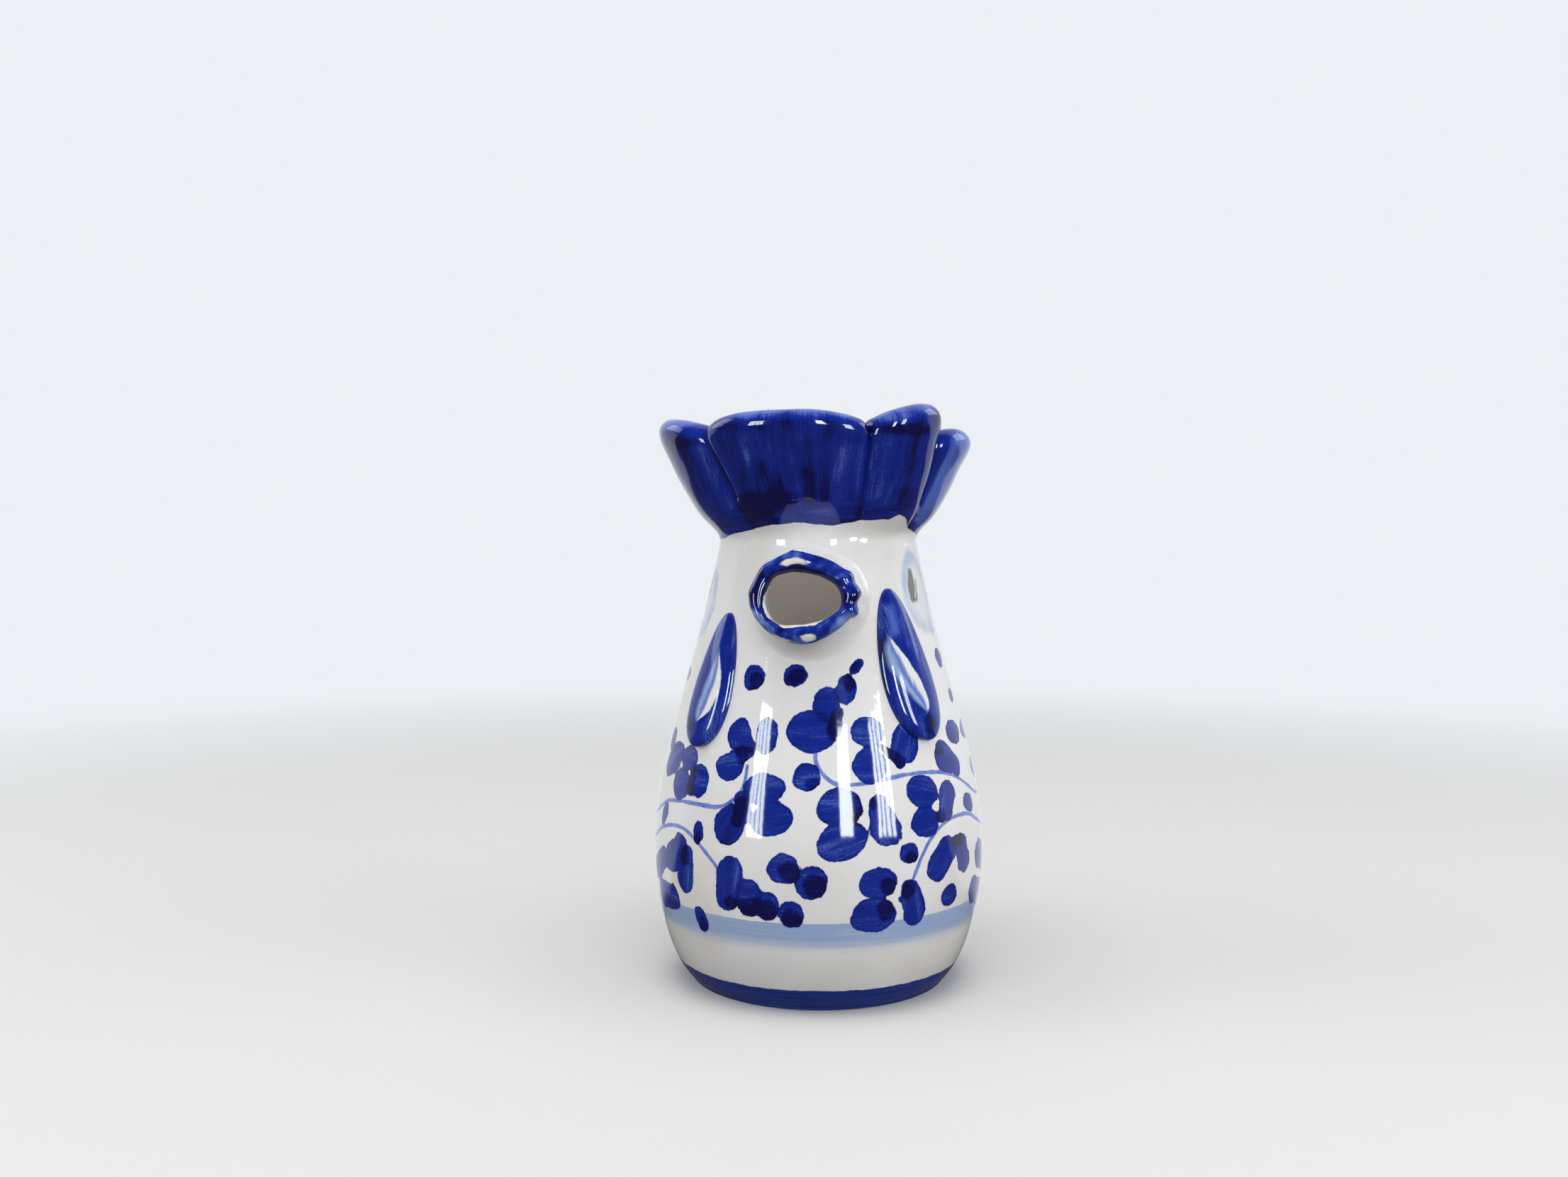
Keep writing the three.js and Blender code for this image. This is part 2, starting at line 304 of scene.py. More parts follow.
def egg(width, height, taper, turn, fullness=0.0):
    """An oval that narrows towards +X and may have blunter ends, as places across and up."""
    across = width / 2 * np.cos(turn)
    up = height / 2 * np.sin(turn) * (1 - taper * np.cos(turn)) * (1 + fullness * np.cos(turn) ** 2)
    return across, up


# Modelling steps


# Corners closer than this are welded, and edges flatter than this are shaded smooth
WELD = 0.002 * MM
SMOOTH_ANGLE = math.radians(40)


def deselect_all():
    """Starts a step with nothing selected."""
    bpy.ops.object.select_all(action="DESELECT")


def new_piece(name):
    """The object that was just added, under its name."""
    piece = bpy.context.object
    piece.name = name
    piece.data.name = name
    return piece


def points_of(piece):
    """Places of a piece's corners."""
    flat = np.empty(len(piece.data.vertices) * 3, np.float32)
    piece.data.vertices.foreach_get("co", flat)
    return flat.reshape(-1, 3).astype(float)


def place_points(piece, points):
    """Moves a piece's corners to places."""
    piece.data.vertices.foreach_set("co", np.asarray(points, np.float32).ravel())
    piece.data.update()


def close_up(piece, fill=False):
    """Welds the seams of a piece, fills its open ends and turns its faces outwards."""
    deselect_all()
    piece.select_set(True)
    bpy.context.view_layer.objects.active = piece
    bpy.ops.object.mode_set(mode="EDIT")
    bpy.ops.mesh.select_mode(type="EDGE")
    bpy.ops.mesh.select_all(action="SELECT")
    bpy.ops.mesh.remove_doubles(threshold=WELD)
    if fill:
        bpy.ops.mesh.select_all(action="DESELECT")
        bpy.ops.mesh.select_non_manifold(
            extend=False, use_wire=False, use_multi_face=False, use_non_contiguous=False, use_verts=False
        )
        bpy.ops.mesh.fill_holes(sides=0)
        bpy.ops.mesh.select_all(action="SELECT")
    bpy.ops.mesh.normals_make_consistent(inside=False)
    bpy.ops.object.mode_set(mode="OBJECT")


def turned_piece(name, profile, segments):
    """A piece thrown on the wheel: one corner drawn along a profile, then spun about the axis."""
    deselect_all()
    bpy.ops.mesh.primitive_plane_add(size=MM)
    piece = new_piece(name)
    bpy.ops.object.mode_set(mode="EDIT")
    bpy.ops.mesh.select_mode(type="VERT")
    bpy.ops.mesh.select_all(action="SELECT")
    bpy.ops.mesh.merge(type="CENTER")
    bpy.ops.transform.translate(value=(profile[0][0], 0, profile[0][1]))
    for start, end in zip(profile, profile[1:]):
        step = (end[0] - start[0], 0, end[1] - start[1])
        bpy.ops.mesh.extrude_region_move(TRANSFORM_OT_translate={"value": step})
    bpy.ops.mesh.select_all(action="SELECT")
    bpy.ops.mesh.spin(steps=segments, angle=FULL_TURN, center=(0, 0, 0), axis=(0, 0, 1))
    bpy.ops.object.mode_set(mode="OBJECT")
    close_up(piece)
    return piece


def nearest_rows(places, points):
    """For each point, the number of the place that it came from."""
    tree = KDTree(len(places))
    for number, place in enumerate(places):
        tree.insert(place, number)
    tree.balance()
    return np.array([tree.find(point)[1] for point in points])


def shaped_sheet(name, columns, rows, place, fill=False):
    """A sheet of clay laid as a grid, and the marks on its corners.

    Each corner goes to where place(across, along) puts it. What place gives besides are marks, one value for
    each corner, which come back in the order of the finished corners.
    """
    deselect_all()
    bpy.ops.mesh.primitive_grid_add(x_subdivisions=columns, y_subdivisions=rows, size=1.0)
    piece = new_piece(name)
    flat = points_of(piece)
    places, *marks = place(flat[:, 0] + 0.5, flat[:, 1] + 0.5)
    place_points(piece, places)
    close_up(piece, fill)
    order = nearest_rows(places, points_of(piece))
    return piece, *(mark[order] for mark in marks)


def press_by_hand(piece, depth, size, shares=None):
    """Slight unevenness of hand-shaped clay, by a cloudy displacement, or a share of it at each corner."""
    clouds = bpy.data.textures.new(f"{piece.name}_unevenness", type="CLOUDS")
    clouds.noise_scale = size
    clouds.noise_depth = 1
    bpy.context.view_layer.objects.active = piece
    bpy.ops.object.modifier_add(type="DISPLACE")
    displace = piece.modifiers[-1]
    displace.texture = clouds
    displace.texture_coords = "LOCAL"
    displace.strength = depth
    displace.mid_level = 0.5
    if shares is not None:
        pressed = piece.vertex_groups.new(name="pressed")
        for corner, share in enumerate(shares):
            pressed.add([corner], float(share), "REPLACE")
        displace.vertex_group = pressed.name
    bpy.ops.object.modifier_apply(modifier=displace.name)
    piece.vertex_groups.clear()
    bpy.data.textures.remove(clouds)


def cut_away(piece, cutter):
    """Cuts a shape out of a piece and removes the cutter."""
    deselect_all()
    bpy.context.view_layer.objects.active = piece
    bpy.ops.object.modifier_add(type="BOOLEAN")
    boolean = piece.modifiers[-1]
    boolean.operation = "DIFFERENCE"
    boolean.solver = "EXACT"
    boolean.object = cutter
    bpy.ops.object.modifier_apply(modifier=boolean.name)
    cutter.select_set(True)
    bpy.ops.object.delete()


def glaze(piece, node, material):
    """Smooths a finished piece, gives it its glaze and puts it in the place of its node."""
    if not piece.data.polygons:
        raise RuntimeError(f"{piece.name} came out empty")
    deselect_all()
    piece.select_set(True)
    bpy.context.view_layer.objects.active = piece
    bpy.ops.object.shade_smooth_by_angle(angle=SMOOTH_ANGLE)
    piece.data.materials.clear()
    piece.data.materials.append(material)
    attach(piece, "root")
    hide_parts(node)


# Painting: every piece carries, at each corner, its distances in millimetres from what is painted on it


PAINTED = ("paint", "overlap", "pool", "pale", "chip", "vine", "vine_side", "pupil", "foot")

# Numbers that tell strokes apart, so that each has bristle lines of its own
LEAF_NUMBERS = 7.3
LEVEL_STROKE = 8.4
UPRIGHT_STROKE = 3.1
WATTLE_STROKE = 2.0
BEAK_STROKE = 5.0
HANDLE_NUMBERS = 4.7


def store(piece, name, values):
    """Keeps one value for each corner of a piece."""
    kept = piece.data.attributes.get(name) or piece.data.attributes.new(name, "FLOAT", "POINT")
    kept.data.foreach_set("value", np.ascontiguousarray(values, np.float32))


def store_strokes(piece, across, along, seed):
    """Keeps the brush's direction: millimetres across and along the stroke, and its number."""
    kept = piece.data.attributes.new("stroke", "FLOAT_VECTOR", "POINT")
    places = np.stack(np.broadcast_arrays(across, along, seed), axis=-1)
    kept.data.foreach_set("vector", np.ascontiguousarray(places, np.float32).ravel())


def start_painting(piece):
    """Bare white glaze everywhere: all painting is far away. Returns turns and heights."""
    count = len(piece.data.vertices)
    for name in PAINTED:
        store(piece, name, np.full(count, FAR))
    store(piece, "wash", np.zeros(count))
    points = points_of(piece)
    turns = np.degrees(np.arctan2(points[:, 0], -points[:, 1]))
    return turns, points[:, 2] / MM


def turn_between(turns, middle):
    """Degrees from a middle turn, the short way round."""
    return (turns - middle + 180) % 360 - 180


class Dab:
    """One press of the brush: an oval at a turn in degrees and a height, with half sizes in millimetres."""

    def __init__(self, turn, height, half_width, half_height, tilt=0):
        self.turn = turn
        self.height = height
        self.half_width = half_width
        self.half_height = half_height
        self.tilt = tilt

    def behind(self):
        """The same dab on the far side of the jug."""
        return Dab(180 - self.turn, self.height, self.half_width, self.half_height, -self.tilt)

    def measure(self, turns, heights):
        """Distance from its outline, and places across and along the brush."""
        radius = body_radius(self.height * MM) / MM
        right = np.radians(turn_between(turns, self.turn)) * radius
        up = heights - self.height
        tilt = math.radians(self.tilt)
        along = right * math.cos(tilt) + up * math.sin(tilt)
        across = up * math.cos(tilt) - right * math.sin(tilt)
        share = np.hypot(along / self.half_width, across / self.half_height)
        return (share - 1) * math.sqrt(self.half_width * self.half_height), across, along


class Stroke:
    """A drawn stroke from one turn and height to another, with its half width at both ends."""

    def __init__(self, turn, height, end_turn, end_height, half_width, end_half_width=None):
        self.turn = turn
        self.height = height
        self.end_turn = end_turn
        self.end_height = end_height
        self.half_width = half_width
        self.end_half_width = half_width if end_half_width is None else end_half_width

    def behind(self):
        """The same stroke on the far side of the jug."""
        return Stroke(
            180 - self.turn, self.height, 180 - self.end_turn, self.end_height,
            self.half_width, self.end_half_width,
        )

    def measure(self, turns, heights):
        """Distance from its outline, and places across and along the brush."""
        radius = body_radius((self.height + self.end_height) / 2 * MM) / MM
        right = np.radians(turn_between(turns, self.turn)) * radius
        up = heights - self.height
        reach = math.radians(self.end_turn - self.turn) * radius
        rise = self.end_height - self.height
        run = max(math.hypot(reach, rise), 1e-6)
        along = (right * reach + up * rise) / run
        across = (up * reach - right * rise) / run
        share = np.clip(along / run, 0, 1)
        half_width = self.half_width + (self.end_half_width - self.half_width) * share
        return np.hypot(along - share * run, across) - half_width, across, along


class Leaf:
    """One leaf drawn with several touches, which don't darken each other."""

    def __init__(self, *touches):
        self.touches = touches
        self.turn = touches[0].turn

    def behind(self):
        """The same leaf on the far side of the jug."""
        return Leaf(*(touch.behind() for touch in self.touches))

    def measure(self, turns, heights):
        """Distance from its outline, and places across and along the brush of its first touch."""
        measured = [touch.measure(turns, heights) for touch in self.touches]
        return np.min([distance for distance, _, _ in measured], axis=0), *measured[0][1:]


def nearest(marks, turns, heights):
    """Distances from the nearest and the second nearest of some marks, and the brush places there."""
    first = np.full(len(turns), FAR)
    second = np.full(len(turns), FAR)
    places = np.zeros((3, len(turns)))
    for number, mark in enumerate(marks):
        distance, across, along = mark.measure(turns, heights)
        second = np.minimum(second, np.maximum(first, distance))
        nearer = distance < first
        first[nearer] = distance[nearer]
        places[0, nearer] = across[nearer]
        places[1, nearer] = along[nearer]
        places[2, nearer] = LEAF_NUMBERS * number
    return first, second, places


def curve_through(points, steps=8):
    """A smooth line through points, as a denser row of points."""
    points = np.asarray(points, float)
    padded = np.vstack([2 * points[0] - points[1], points, 2 * points[-1] - points[-2]])
    row = []
    for index in range(1, len(padded) - 2):
        before, start, end, after = padded[index - 1:index + 3]
        for share in np.arange(steps) / steps:
            row.append(0.5 * (
                2 * start + (end - before) * share
                + (2 * before - 5 * start + 4 * end - after) * share ** 2
                + (3 * start - before - 3 * end + after) * share ** 3
            ))
    return np.array(row + [points[-1]])


# Leaves of the sprigs, sprig by sprig
LEAVES = [
    # Below the left wattle
    Leaf(Dab(-26.2, 69.6, 3.6, 4.1), Stroke(-24.5, 68.6, -19.2, 66.6, 3.0, 1.1)),
    Dab(-15, 69.7, 3.0, 4.6),
    Leaf(Dab(-28.6, 61.7, 4.4, 3.5, 12), Stroke(-27, 63.6, -20.6, 65.4, 2.4, 1.4)),
    # Left of the middle
    Dab(-14.8, 57, 5.4, 3.9, 10),
    Dab(-11.2, 49.8, 5.4, 4.2, 18),
    Leaf(Dab(-26, 47.8, 5.5, 4.4, 58), Stroke(-22, 54, -20.8, 50.5, 2.4)),
    # Left
    Dab(-49.5, 62.2, 3.8, 3.3),
    Dab(-52, 55.4, 4.4, 4.1),
    Leaf(Dab(-41.3, 57.3, 3.5, 4.2), Stroke(-45.3, 58.8, -45.3, 54.5, 1.5)),
    Dab(-62, 60.8, 6.2, 4.2, 35),
    Dab(-69, 65.4, 2.5, 3),
    # Chain on the lower left
    Stroke(-25.2, 36.4, -26.4, 29.6, 3.75, 3.4),
    Dab(-18.4, 30.2, 3.6, 5.1),
    Dab(-12.4, 28.6, 3.5, 3.7),
    Dab(-4.4, 26.9, 3.35, 3.4),
    # Pair on the lower middle
    Dab(-6.8, 38, 4.3, 3.75),
    Dab(2.1, 34.9, 4.0, 4.25),
    # Lower left
    Stroke(-53.6, 36.3, -48.5, 39.5, 3.9, 3.6),
    Stroke(-44.2, 38.3, -45.2, 32, 2.6, 3.5),
    Stroke(-68, 31.5, -61, 35, 3.3, 3.1),
    Stroke(-63, 25.3, -53.8, 25.8, 3.6, 3.5),
    # Under the beak
    Dab(1.7, 71, 6.2, 5.2),
    Leaf(Dab(7.2, 77.6, 3.5, 4.2), Stroke(11.4, 75.6, 10.4, 71.2, 1.5)),
    Dab(15.4, 81, 2.8, 3.8, -15),
    Stroke(19.5, 86, 21.6, 87.3, 1.5, 1.4),
    # Below the right wattle
    Dab(22.4, 70.7, 4.4, 3.6),
    Dab(22.4, 62.8, 4.7, 4.5),
    Leaf(Dab(37.3, 67.5, 5.4, 4.2, 60), Stroke(26.5, 67.2, 34.2, 63.2, 0.9, 1.7)),
    # Right of the middle
    Dab(11.3, 53, 5.9, 4.6),
    Dab(11.6, 44.9, 6.5, 4.7, 20),
    Leaf(
        Stroke(24.2, 53, 26.2, 47.6, 2.8, 4.2), Dab(31.6, 45.2, 0.6, 0.9), Dab(24, 44.5, 0.9, 0.5),
        Dab(29.3, 43.8, 1.0, 0.5),
    ),
    # Right
    Dab(41.8, 55.3, 5.3, 4.2, -12),
    Dab(41.8, 48, 4.9, 3.9),
    Leaf(Stroke(54.2, 53.7, 52.3, 50, 3.5, 3.0), Dab(49.3, 48.6, 2.1, 1.9)),
    # Lower right
    Dab(23.3, 34.3, 5.1, 4.0),
    Dab(22.2, 26.4, 6.05, 4.5),
    Leaf(Stroke(34.7, 31.8, 36.7, 26.1, 2.8, 3.6), Stroke(30.6, 29.7, 33, 30.8, 0.5)),
    Stroke(46.5, 36.4, 51.2, 39.9, 3.95, 3.75),
    Leaf(Stroke(59.5, 40, 61, 36.4, 3.2, 3.5), Stroke(55.2, 41.4, 59.7, 41.6, 1.5)),
    Stroke(76, 35.6, 88, 32.5, 4.1),
    Stroke(70.5, 27, 88, 22.8, 3.6),
    # Far right
    Stroke(55.9, 63.1, 62.8, 60, 4.0, 2.7),
    Dab(67.5, 68.4, 4.2, 3.4),
    Dab(84, 67.6, 5, 2.8),
]

# Single dots between the sprigs
DOTS = [
    Dab(-38.9, 44.4, 1.95, 3.2), Dab(-38, 22.8, 2.3, 3.6, 18), Dab(-61.8, 46.5, 2.0, 3.4, -25),
    Dab(-75.4, 82.5, 3, 2), Dab(0.3, 60.2, 3.55, 3.4), Dab(-23.2, 83.6, 3.1, 3.25),
    Dab(-5.2, 84.4, 3.2, 2.9, -20), Dab(34.3, 40.9, 3.0, 2.75, 10), Dab(52.6, 28.3, 3.4, 2.85),
    Dab(68.3, 50, 3.2, 2.5, -20), Dab(73, 87.4, 2.6, 2.5, -20), Dab(77, 77.2, 1.9, 2.0),
    Dab(85, 57.6, 4.5, 2.8), Dab(49.5, 68.5, 2.0, 1.2),
]

# Dark pools where the brush stopped or crossed itself
POOLS = [
    Leaf(Stroke(-25, 65.3, -19.8, 66.0, 1.3, 0.8), Dab(-23.4, 64.2, 1.7, 1.9)),
    Stroke(-22.3, 53, -23, 48.7, 1.9, 1.7), Dab(2.8, 58.5, 2.0, 1.8), Dab(-21.6, 82.6, 2.1, 2.2),
    Dab(-5, 84.2, 2.5, 2.2), Dab(34.8, 39.8, 1.9, 1.7), Dab(-25, 28.5, 1.8, 1.7),
    Stroke(-20, 27.7, -16.6, 28.3, 2.3), Dab(-12.2, 27.5, 2.8, 2.6), Dab(-4.3, 26.2, 2.6, 2.4),
    Dab(-4.9, 37.4, 2.8, 2.7), Dab(3.2, 34.1, 2.9, 2.9), Dab(-45.3, 37.8, 2.0, 2.5),
    Stroke(-45.4, 58.8, -45.2, 54.6, 1.4), Stroke(11.2, 75.8, 9.2, 70.6, 1.0, 1.7), Dab(17, 82.6, 1.8, 2.0),
    Stroke(19.5, 86.2, 21.4, 87.2, 1.2, 1.0), Stroke(26.5, 67.2, 34.2, 63.2, 0.8, 1.6),
    Stroke(17.7, 54.6, 17, 49.5, 1.2), Stroke(14.6, 52.5, 15.2, 48.8, 0.7), Dab(22.2, 53.7, 1.2, 1.6),
    Dab(49.3, 48.6, 2.0, 1.8), Dab(26.8, 33, 2.3, 2.2), Dab(26.4, 27.8, 2.5, 2.9),
    Dab(34.3, 32, 1.9, 2.3, -30), Stroke(55.2, 41.4, 59.7, 41.6, 1.4), Dab(-38.9, 43.4, 1.3, 1.9),
    Dab(-37.5, 21.8, 1.6, 2.0), Dab(53.5, 65, 2.2, 1.6),
]

# Thin tendrils, as turns and heights that they run through
TENDRILS = [
    [(-90, 43), (-85, 43.1), (-78, 44.6), (-70, 46.8), (-60, 50.1), (-50, 51.2), (-40, 51.4), (-31.4, 51.6),
     (-26, 53.3), (-22.6, 56.1), (-21.5, 58.4), (-21.2, 61.6)],
    [(-90, 36.6), (-84, 36.7), (-72, 39.5), (-64, 42.5), (-56, 44.3), (-48, 44.7), (-42, 43.3), (-36, 40.5),
     (-29.6, 36.5)],
    [(3.3, 67), (3.2, 64), (4.6, 61.9), (7, 59.9), (10.2, 58.5), (15, 58.2), (24.3, 58.9), (32, 59.6),
     (41, 60), (52.9, 59.2), (62, 57.2), (70, 54.3), (78, 51.6), (85, 50.8), (90, 50.7)],
    [(35.7, 34.3), (37.5, 37), (40, 40.3), (43, 43.2), (46.5, 45.4), (50, 46.6), (54.3, 47.6), (61.4, 47.8),
     (68, 47), (76, 44.5), (84, 42.6), (90, 42.4)],
]
TENDRIL_HALF_WIDTH = 0.5

# Eyes: pale teardrops, and pupils as thick crescents that close in a thin ring
EYE_HALOS = [
    Dab(66.5, 105, 7.5, 10.8), Stroke(68, 98, 74, 95, 4, 2),
    Dab(-74, 101.5, 7.6, 9.5), Stroke(-68, 100.6, -60, 100.2, 3.5, 0.8),
]
PUPILS = [
    Leaf(
        Stroke(62, 110, 60.4, 106.2, 1.2, 1.7), Stroke(60.4, 106.2, 59.4, 103.2, 1.7, 1.1),
        Stroke(59.6, 102.9, 63.4, 102.7, 0.7, 0.5), Stroke(63.4, 102.7, 66.6, 108, 0.45, 0.35),
    ),
    Leaf(Stroke(-76.6, 108, -77.4, 104, 1.3, 1.7), Stroke(-77.4, 104, -80, 99.6, 1.6, 0.6)),
]

# Marks this close to the beak's line would lie under the handle on the far side
CLEAR_OF_HANDLE = 14


def both_sides(marks):
    """Marks as they are in front, and once more behind, clear of the handle."""
    return marks + [mark.behind() for mark in marks if abs(mark.turn) > CLEAR_OF_HANDLE]


def paint_tendrils(piece, turns, heights):
    """Distance from the nearest tendril, and the same with a side, which keeps thin lines crisp."""
    near = np.full(len(turns), FAR)
    side = np.full(len(turns), FAR)
    behind = [
        [(180 - turn, height) for turn, height in row if abs(turn) > CLEAR_OF_HANDLE]
        for row in TENDRILS
    ]
    for row in TENDRILS + behind:
        line = curve_through(row)
        for start, end in zip(line, line[1:]):
            stroke = Stroke(*start, *end, 0.0)
            distance, across, _ = stroke.measure(turns, heights)
            nearer = distance < near
            near[nearer] = distance[nearer]
            side[nearer] = across[nearer]
    store(piece, "vine", near)
    store(piece, "vine_side", side)


def paint_foot_band(piece, outside):
    """The band round the foot, on the outside only."""
    above = points_of(piece)[:, 2] - settings().body.foot_height
    store(piece, "foot", np.where(outside, above / MM, FAR))


def paint_body(piece):
    """Leaves, dots, tendrils and eyes on the outside of the body."""
    turns, heights = start_painting(piece)
    points = points_of(piece)
    inner = body_radius(points[:, 2]) - settings().body.wall / 2
    outside = np.hypot(points[:, 0], points[:, 1]) > inner
    turns = np.where(outside, turns, 0)
    heights = np.where(outside, heights, -FAR)
    paint_foot_band(piece, outside)
    leaf, overlap, places = nearest(both_sides(LEAVES + DOTS), turns, heights)
    pool, _, _ = nearest(both_sides(POOLS), turns, heights)
    halo, _, _ = nearest(EYE_HALOS, turns, heights)
    pupil, _, _ = nearest(PUPILS, turns, heights)
    marks = {
        "paint": leaf, "overlap": overlap, "pool": pool, "pale": halo, "pupil": pupil, "inside": ~outside,
    }
    for name, values in marks.items():
        store(piece, name, values)
    store_strokes(piece, *places)
    paint_tendrils(piece, turns, heights)


# Lower edge of the comb's blue, as turns and heights
COMB_EDGE = [
    (-180, 121), (-150, 119.8), (-110, 121.4), (-80, 118.6), (-63, 119.2), (-44.5, 120.4), (-23, 122),
    (-8, 122.8), (10.6, 121.9), (26.4, 123.3), (41, 123.6), (46, 124.9), (51, 124.4), (63, 121.6),
    (85, 119.5), (120, 121.5), (155, 120.2), (180, 121),
]

# Broad brush marks on the comb, with painted highlight along the tops of the lips and painted shade just
# under them: a stroke, and how much lighter it is than the rest
COMB_WASHES_AND_LIP_SHADING = [
    (Stroke(-14, 141.5, -8, 140, 5), 0.3), (Stroke(0, 141, 4.8, 128.7, 2.2), -0.45),
    (Stroke(16.4, 140, 14.7, 129.4, 2.2), 0.4), (Stroke(30.5, 142, 29.6, 130, 1.7), 0.5),
    (Stroke(-28, 127, -12, 128, 3), -0.6), (Dab(-18, 127, 9, 4), -0.25),
    (Stroke(-12, 124.8, 8, 125.2, 2), 0.6), (Dab(-14.5, 134.5, 6, 4), -0.3),
    (Dab(8.5, 138, 3.5, 5), 0.25), (Dab(41, 137, 4, 8), -0.2),
    (Stroke(-46, 141, -43, 128, 2.2), 0.5), (Dab(-55, 136, 3, 8), -0.3),
    # Light strokes from here on at the tops of the lips are painted highlight, and the dark marks just under
    # the lips are painted shade
    (Stroke(-74, 149.5, -56, 150, 2.8), 1.0), (Stroke(32, 150, 48, 153, 2.8), 0.95),
    (Dab(54, 151, 3, 3), -0.6), (Stroke(76, 143, 72, 126, 4.5), 1.1),
    (Dab(36, 145.8, 6, 1.3), -0.7), (Dab(-60, 143.5, 6, 1.4), -0.7),
    (Stroke(-24, 151, 22, 151, 2.8), 0.95), (Stroke(-30, 146.6, -14, 145.6, 1.0), -0.5),
    (Stroke(23, 142, 22, 131, 1.2), 0.35), (Stroke(-24, 140, -20, 130, 1.2), 0.25),
    (Dab(46, 129, 4, 3), -0.4),
]
WASH_SOFTNESS = 1.4

# Height above the edge up to which the brush ran round the comb; above it, it ran upwards
COMB_LEVEL_STROKES = 4.2

# Height down to which the blue runs over the lip into the mouth
COMB_INSIDE_EDGE = 137

# How much darker the blue is along the creases, and the shares of a lobe's half width between which it
# darkens
CREASE_DARKENING = 0.4
CREASE_DARKENING_FADES = (0.86, 1.0)


def washes(marks, turns, heights):
    """Sum of soft marks, each with how much lighter it is than the rest."""
    total = np.zeros(len(turns))
    for mark, lightness in marks:
        distance, _, _ = mark.measure(turns, heights)
        total += lightness * (1 - ease(distance, -WASH_SOFTNESS, WASH_SOFTNESS))
    return total


def paint_comb(piece, across, inside):
    """Blue above the wavy edge, with broad brush marks, painted highlight and shade at the lips, and darker
    along the creases.
    """
    turns, heights = start_painting(piece)
    edge = np.interp(turns, *np.transpose(COMB_EDGE))
    comb, body = settings().comb, settings().body
    middle = (body.neck_radius + comb.radius) / 2
    # Brush washes, with painted highlight on the lips' tops and painted shade under the lips
    wash = np.where(inside, 0, washes(COMB_WASHES_AND_LIP_SHADING, turns, heights))
    store(piece, "paint", np.where(inside, COMB_INSIDE_EDGE - heights, edge - heights))
    # Darker blue along the creases
    store(piece, "wash", wash - CREASE_DARKENING * ease(np.abs(across), *CREASE_DARKENING_FADES))
    sideways = np.radians(turns) * middle / MM
    level = heights < edge + COMB_LEVEL_STROKES + np.sin(sideways / 5)
    crosswise = np.where(level, heights, sideways)
    lengthwise = np.where(level, sideways, heights)
    store_strokes(piece, crosswise, lengthwise, np.where(level, LEVEL_STROKE, UPRIGHT_STROKE))


# Pale leaf in the middle of each wattle: shares of its length, with the leaf's middle and half width across
WATTLE_LEAVES = {
    "right": [
        (0.31, -0.66, 0.0), (0.41, -0.57, 0.24), (0.54, -0.37, 0.36), (0.68, -0.13, 0.3), (0.76, 0.0, 0.17),
        (0.8, 0.06, 0.0),
    ],
    "left": [
        (0.27, 0.37, 0.0), (0.43, 0.37, 0.25), (0.57, 0.33, 0.31), (0.7, 0.23, 0.29), (0.765, 0.13, 0.16),
        (0.795, 0.07, 0.0),
    ],
}

# Where the brush stopped at the lower end of each wattle
WATTLE_POOLS = {"right": Dab(47.5, 71.8, 2.0, 2.6), "left": Stroke(-47, 70.6, -50, 71.6, 1.1)}

# Lighter and darker brush marks on the wattles' borders
WATTLE_WASHES = [
    (Stroke(37.6, 101, 38.6, 95.5, 1.3), 0.7), (Stroke(31.6, 93, 31, 80, 0.9), -0.7),
    (Stroke(47, 92, 54, 82, 1.0), 0.35), (Stroke(-38.5, 95, -37, 80, 1.2), -0.25),
]


def wattle_sizes(side):
    """Drop of the tip, length, width, and turns of the tip and the end of one wattle."""
    names = ("drop", "length", "width", "tip", "end")
    return [getattr(settings().wattles, f"{side}_{name}") for name in names]


def drop_width(share):
    """Half-width of a drop at a share of its length from the tip, as a share of its greatest."""
    greatest = 0.727
    return np.sqrt(np.clip(share * (1 - share ** 4), 0, None)) / greatest


def paint_wattle(piece, side):
    """Blue all over, but for the pale leaf in the middle, which is bluest along a line of its own."""
    turns, heights = start_painting(piece)
    drop, long, width, tip, end = wattle_sizes(side)
    share = (settings().body.neck_height - drop - heights * MM) / long
    # The drop has no width at its two ends, so a little is counted there
    half_width = np.maximum(width / 2 * drop_width(np.clip(share, 0.001, 0.999)), 0.5 * MM)
    middle = tip + (end - tip) * share
    across = (np.radians(turns) - middle) * body_radius(heights * MM) / half_width
    shares, middles, halves = curve_through(WATTLE_LEAVES[side]).T
    leaf_half = np.interp(share, shares, halves)
    offset = across - np.interp(share, shares, middles)
    beyond = np.maximum(shares[0] - share, share - shares[-1]) * long
    leaf = np.maximum((np.abs(offset) - leaf_half) * half_width, beyond)
    pool, _, _ = nearest([WATTLE_POOLS[side]], turns, heights)
    store(piece, "paint", np.full(len(turns), -FAR))
    store(piece, "pale", leaf / MM)
    store(piece, "pool", pool)
    store(piece, "wash", washes(WATTLE_WASHES, turns, heights))
    store(piece, "tone", np.clip(offset / np.maximum(leaf_half, 0.05), -1.5, 1.5))
    store_strokes(piece, across * half_width / MM, share * long / MM, WATTLE_STROKE)


# Uneven bead round the beak's mouth: lumps as a turn round the mouth from the right, a height and a spread
BEAK_LUMPS = [
    (6, 1.2, 9), (32, 0.8, 8), (-20, 1.0, 8), (97, 0.9, 11), (76, -0.3, 8), (60, -0.2, 10), (140, 0.35, 9),
    (178, 0.45, 15), (222, -0.25, 12), (248, 0.3, 9), (-80, 0.3, 12), (-52, -0.2, 9),
]

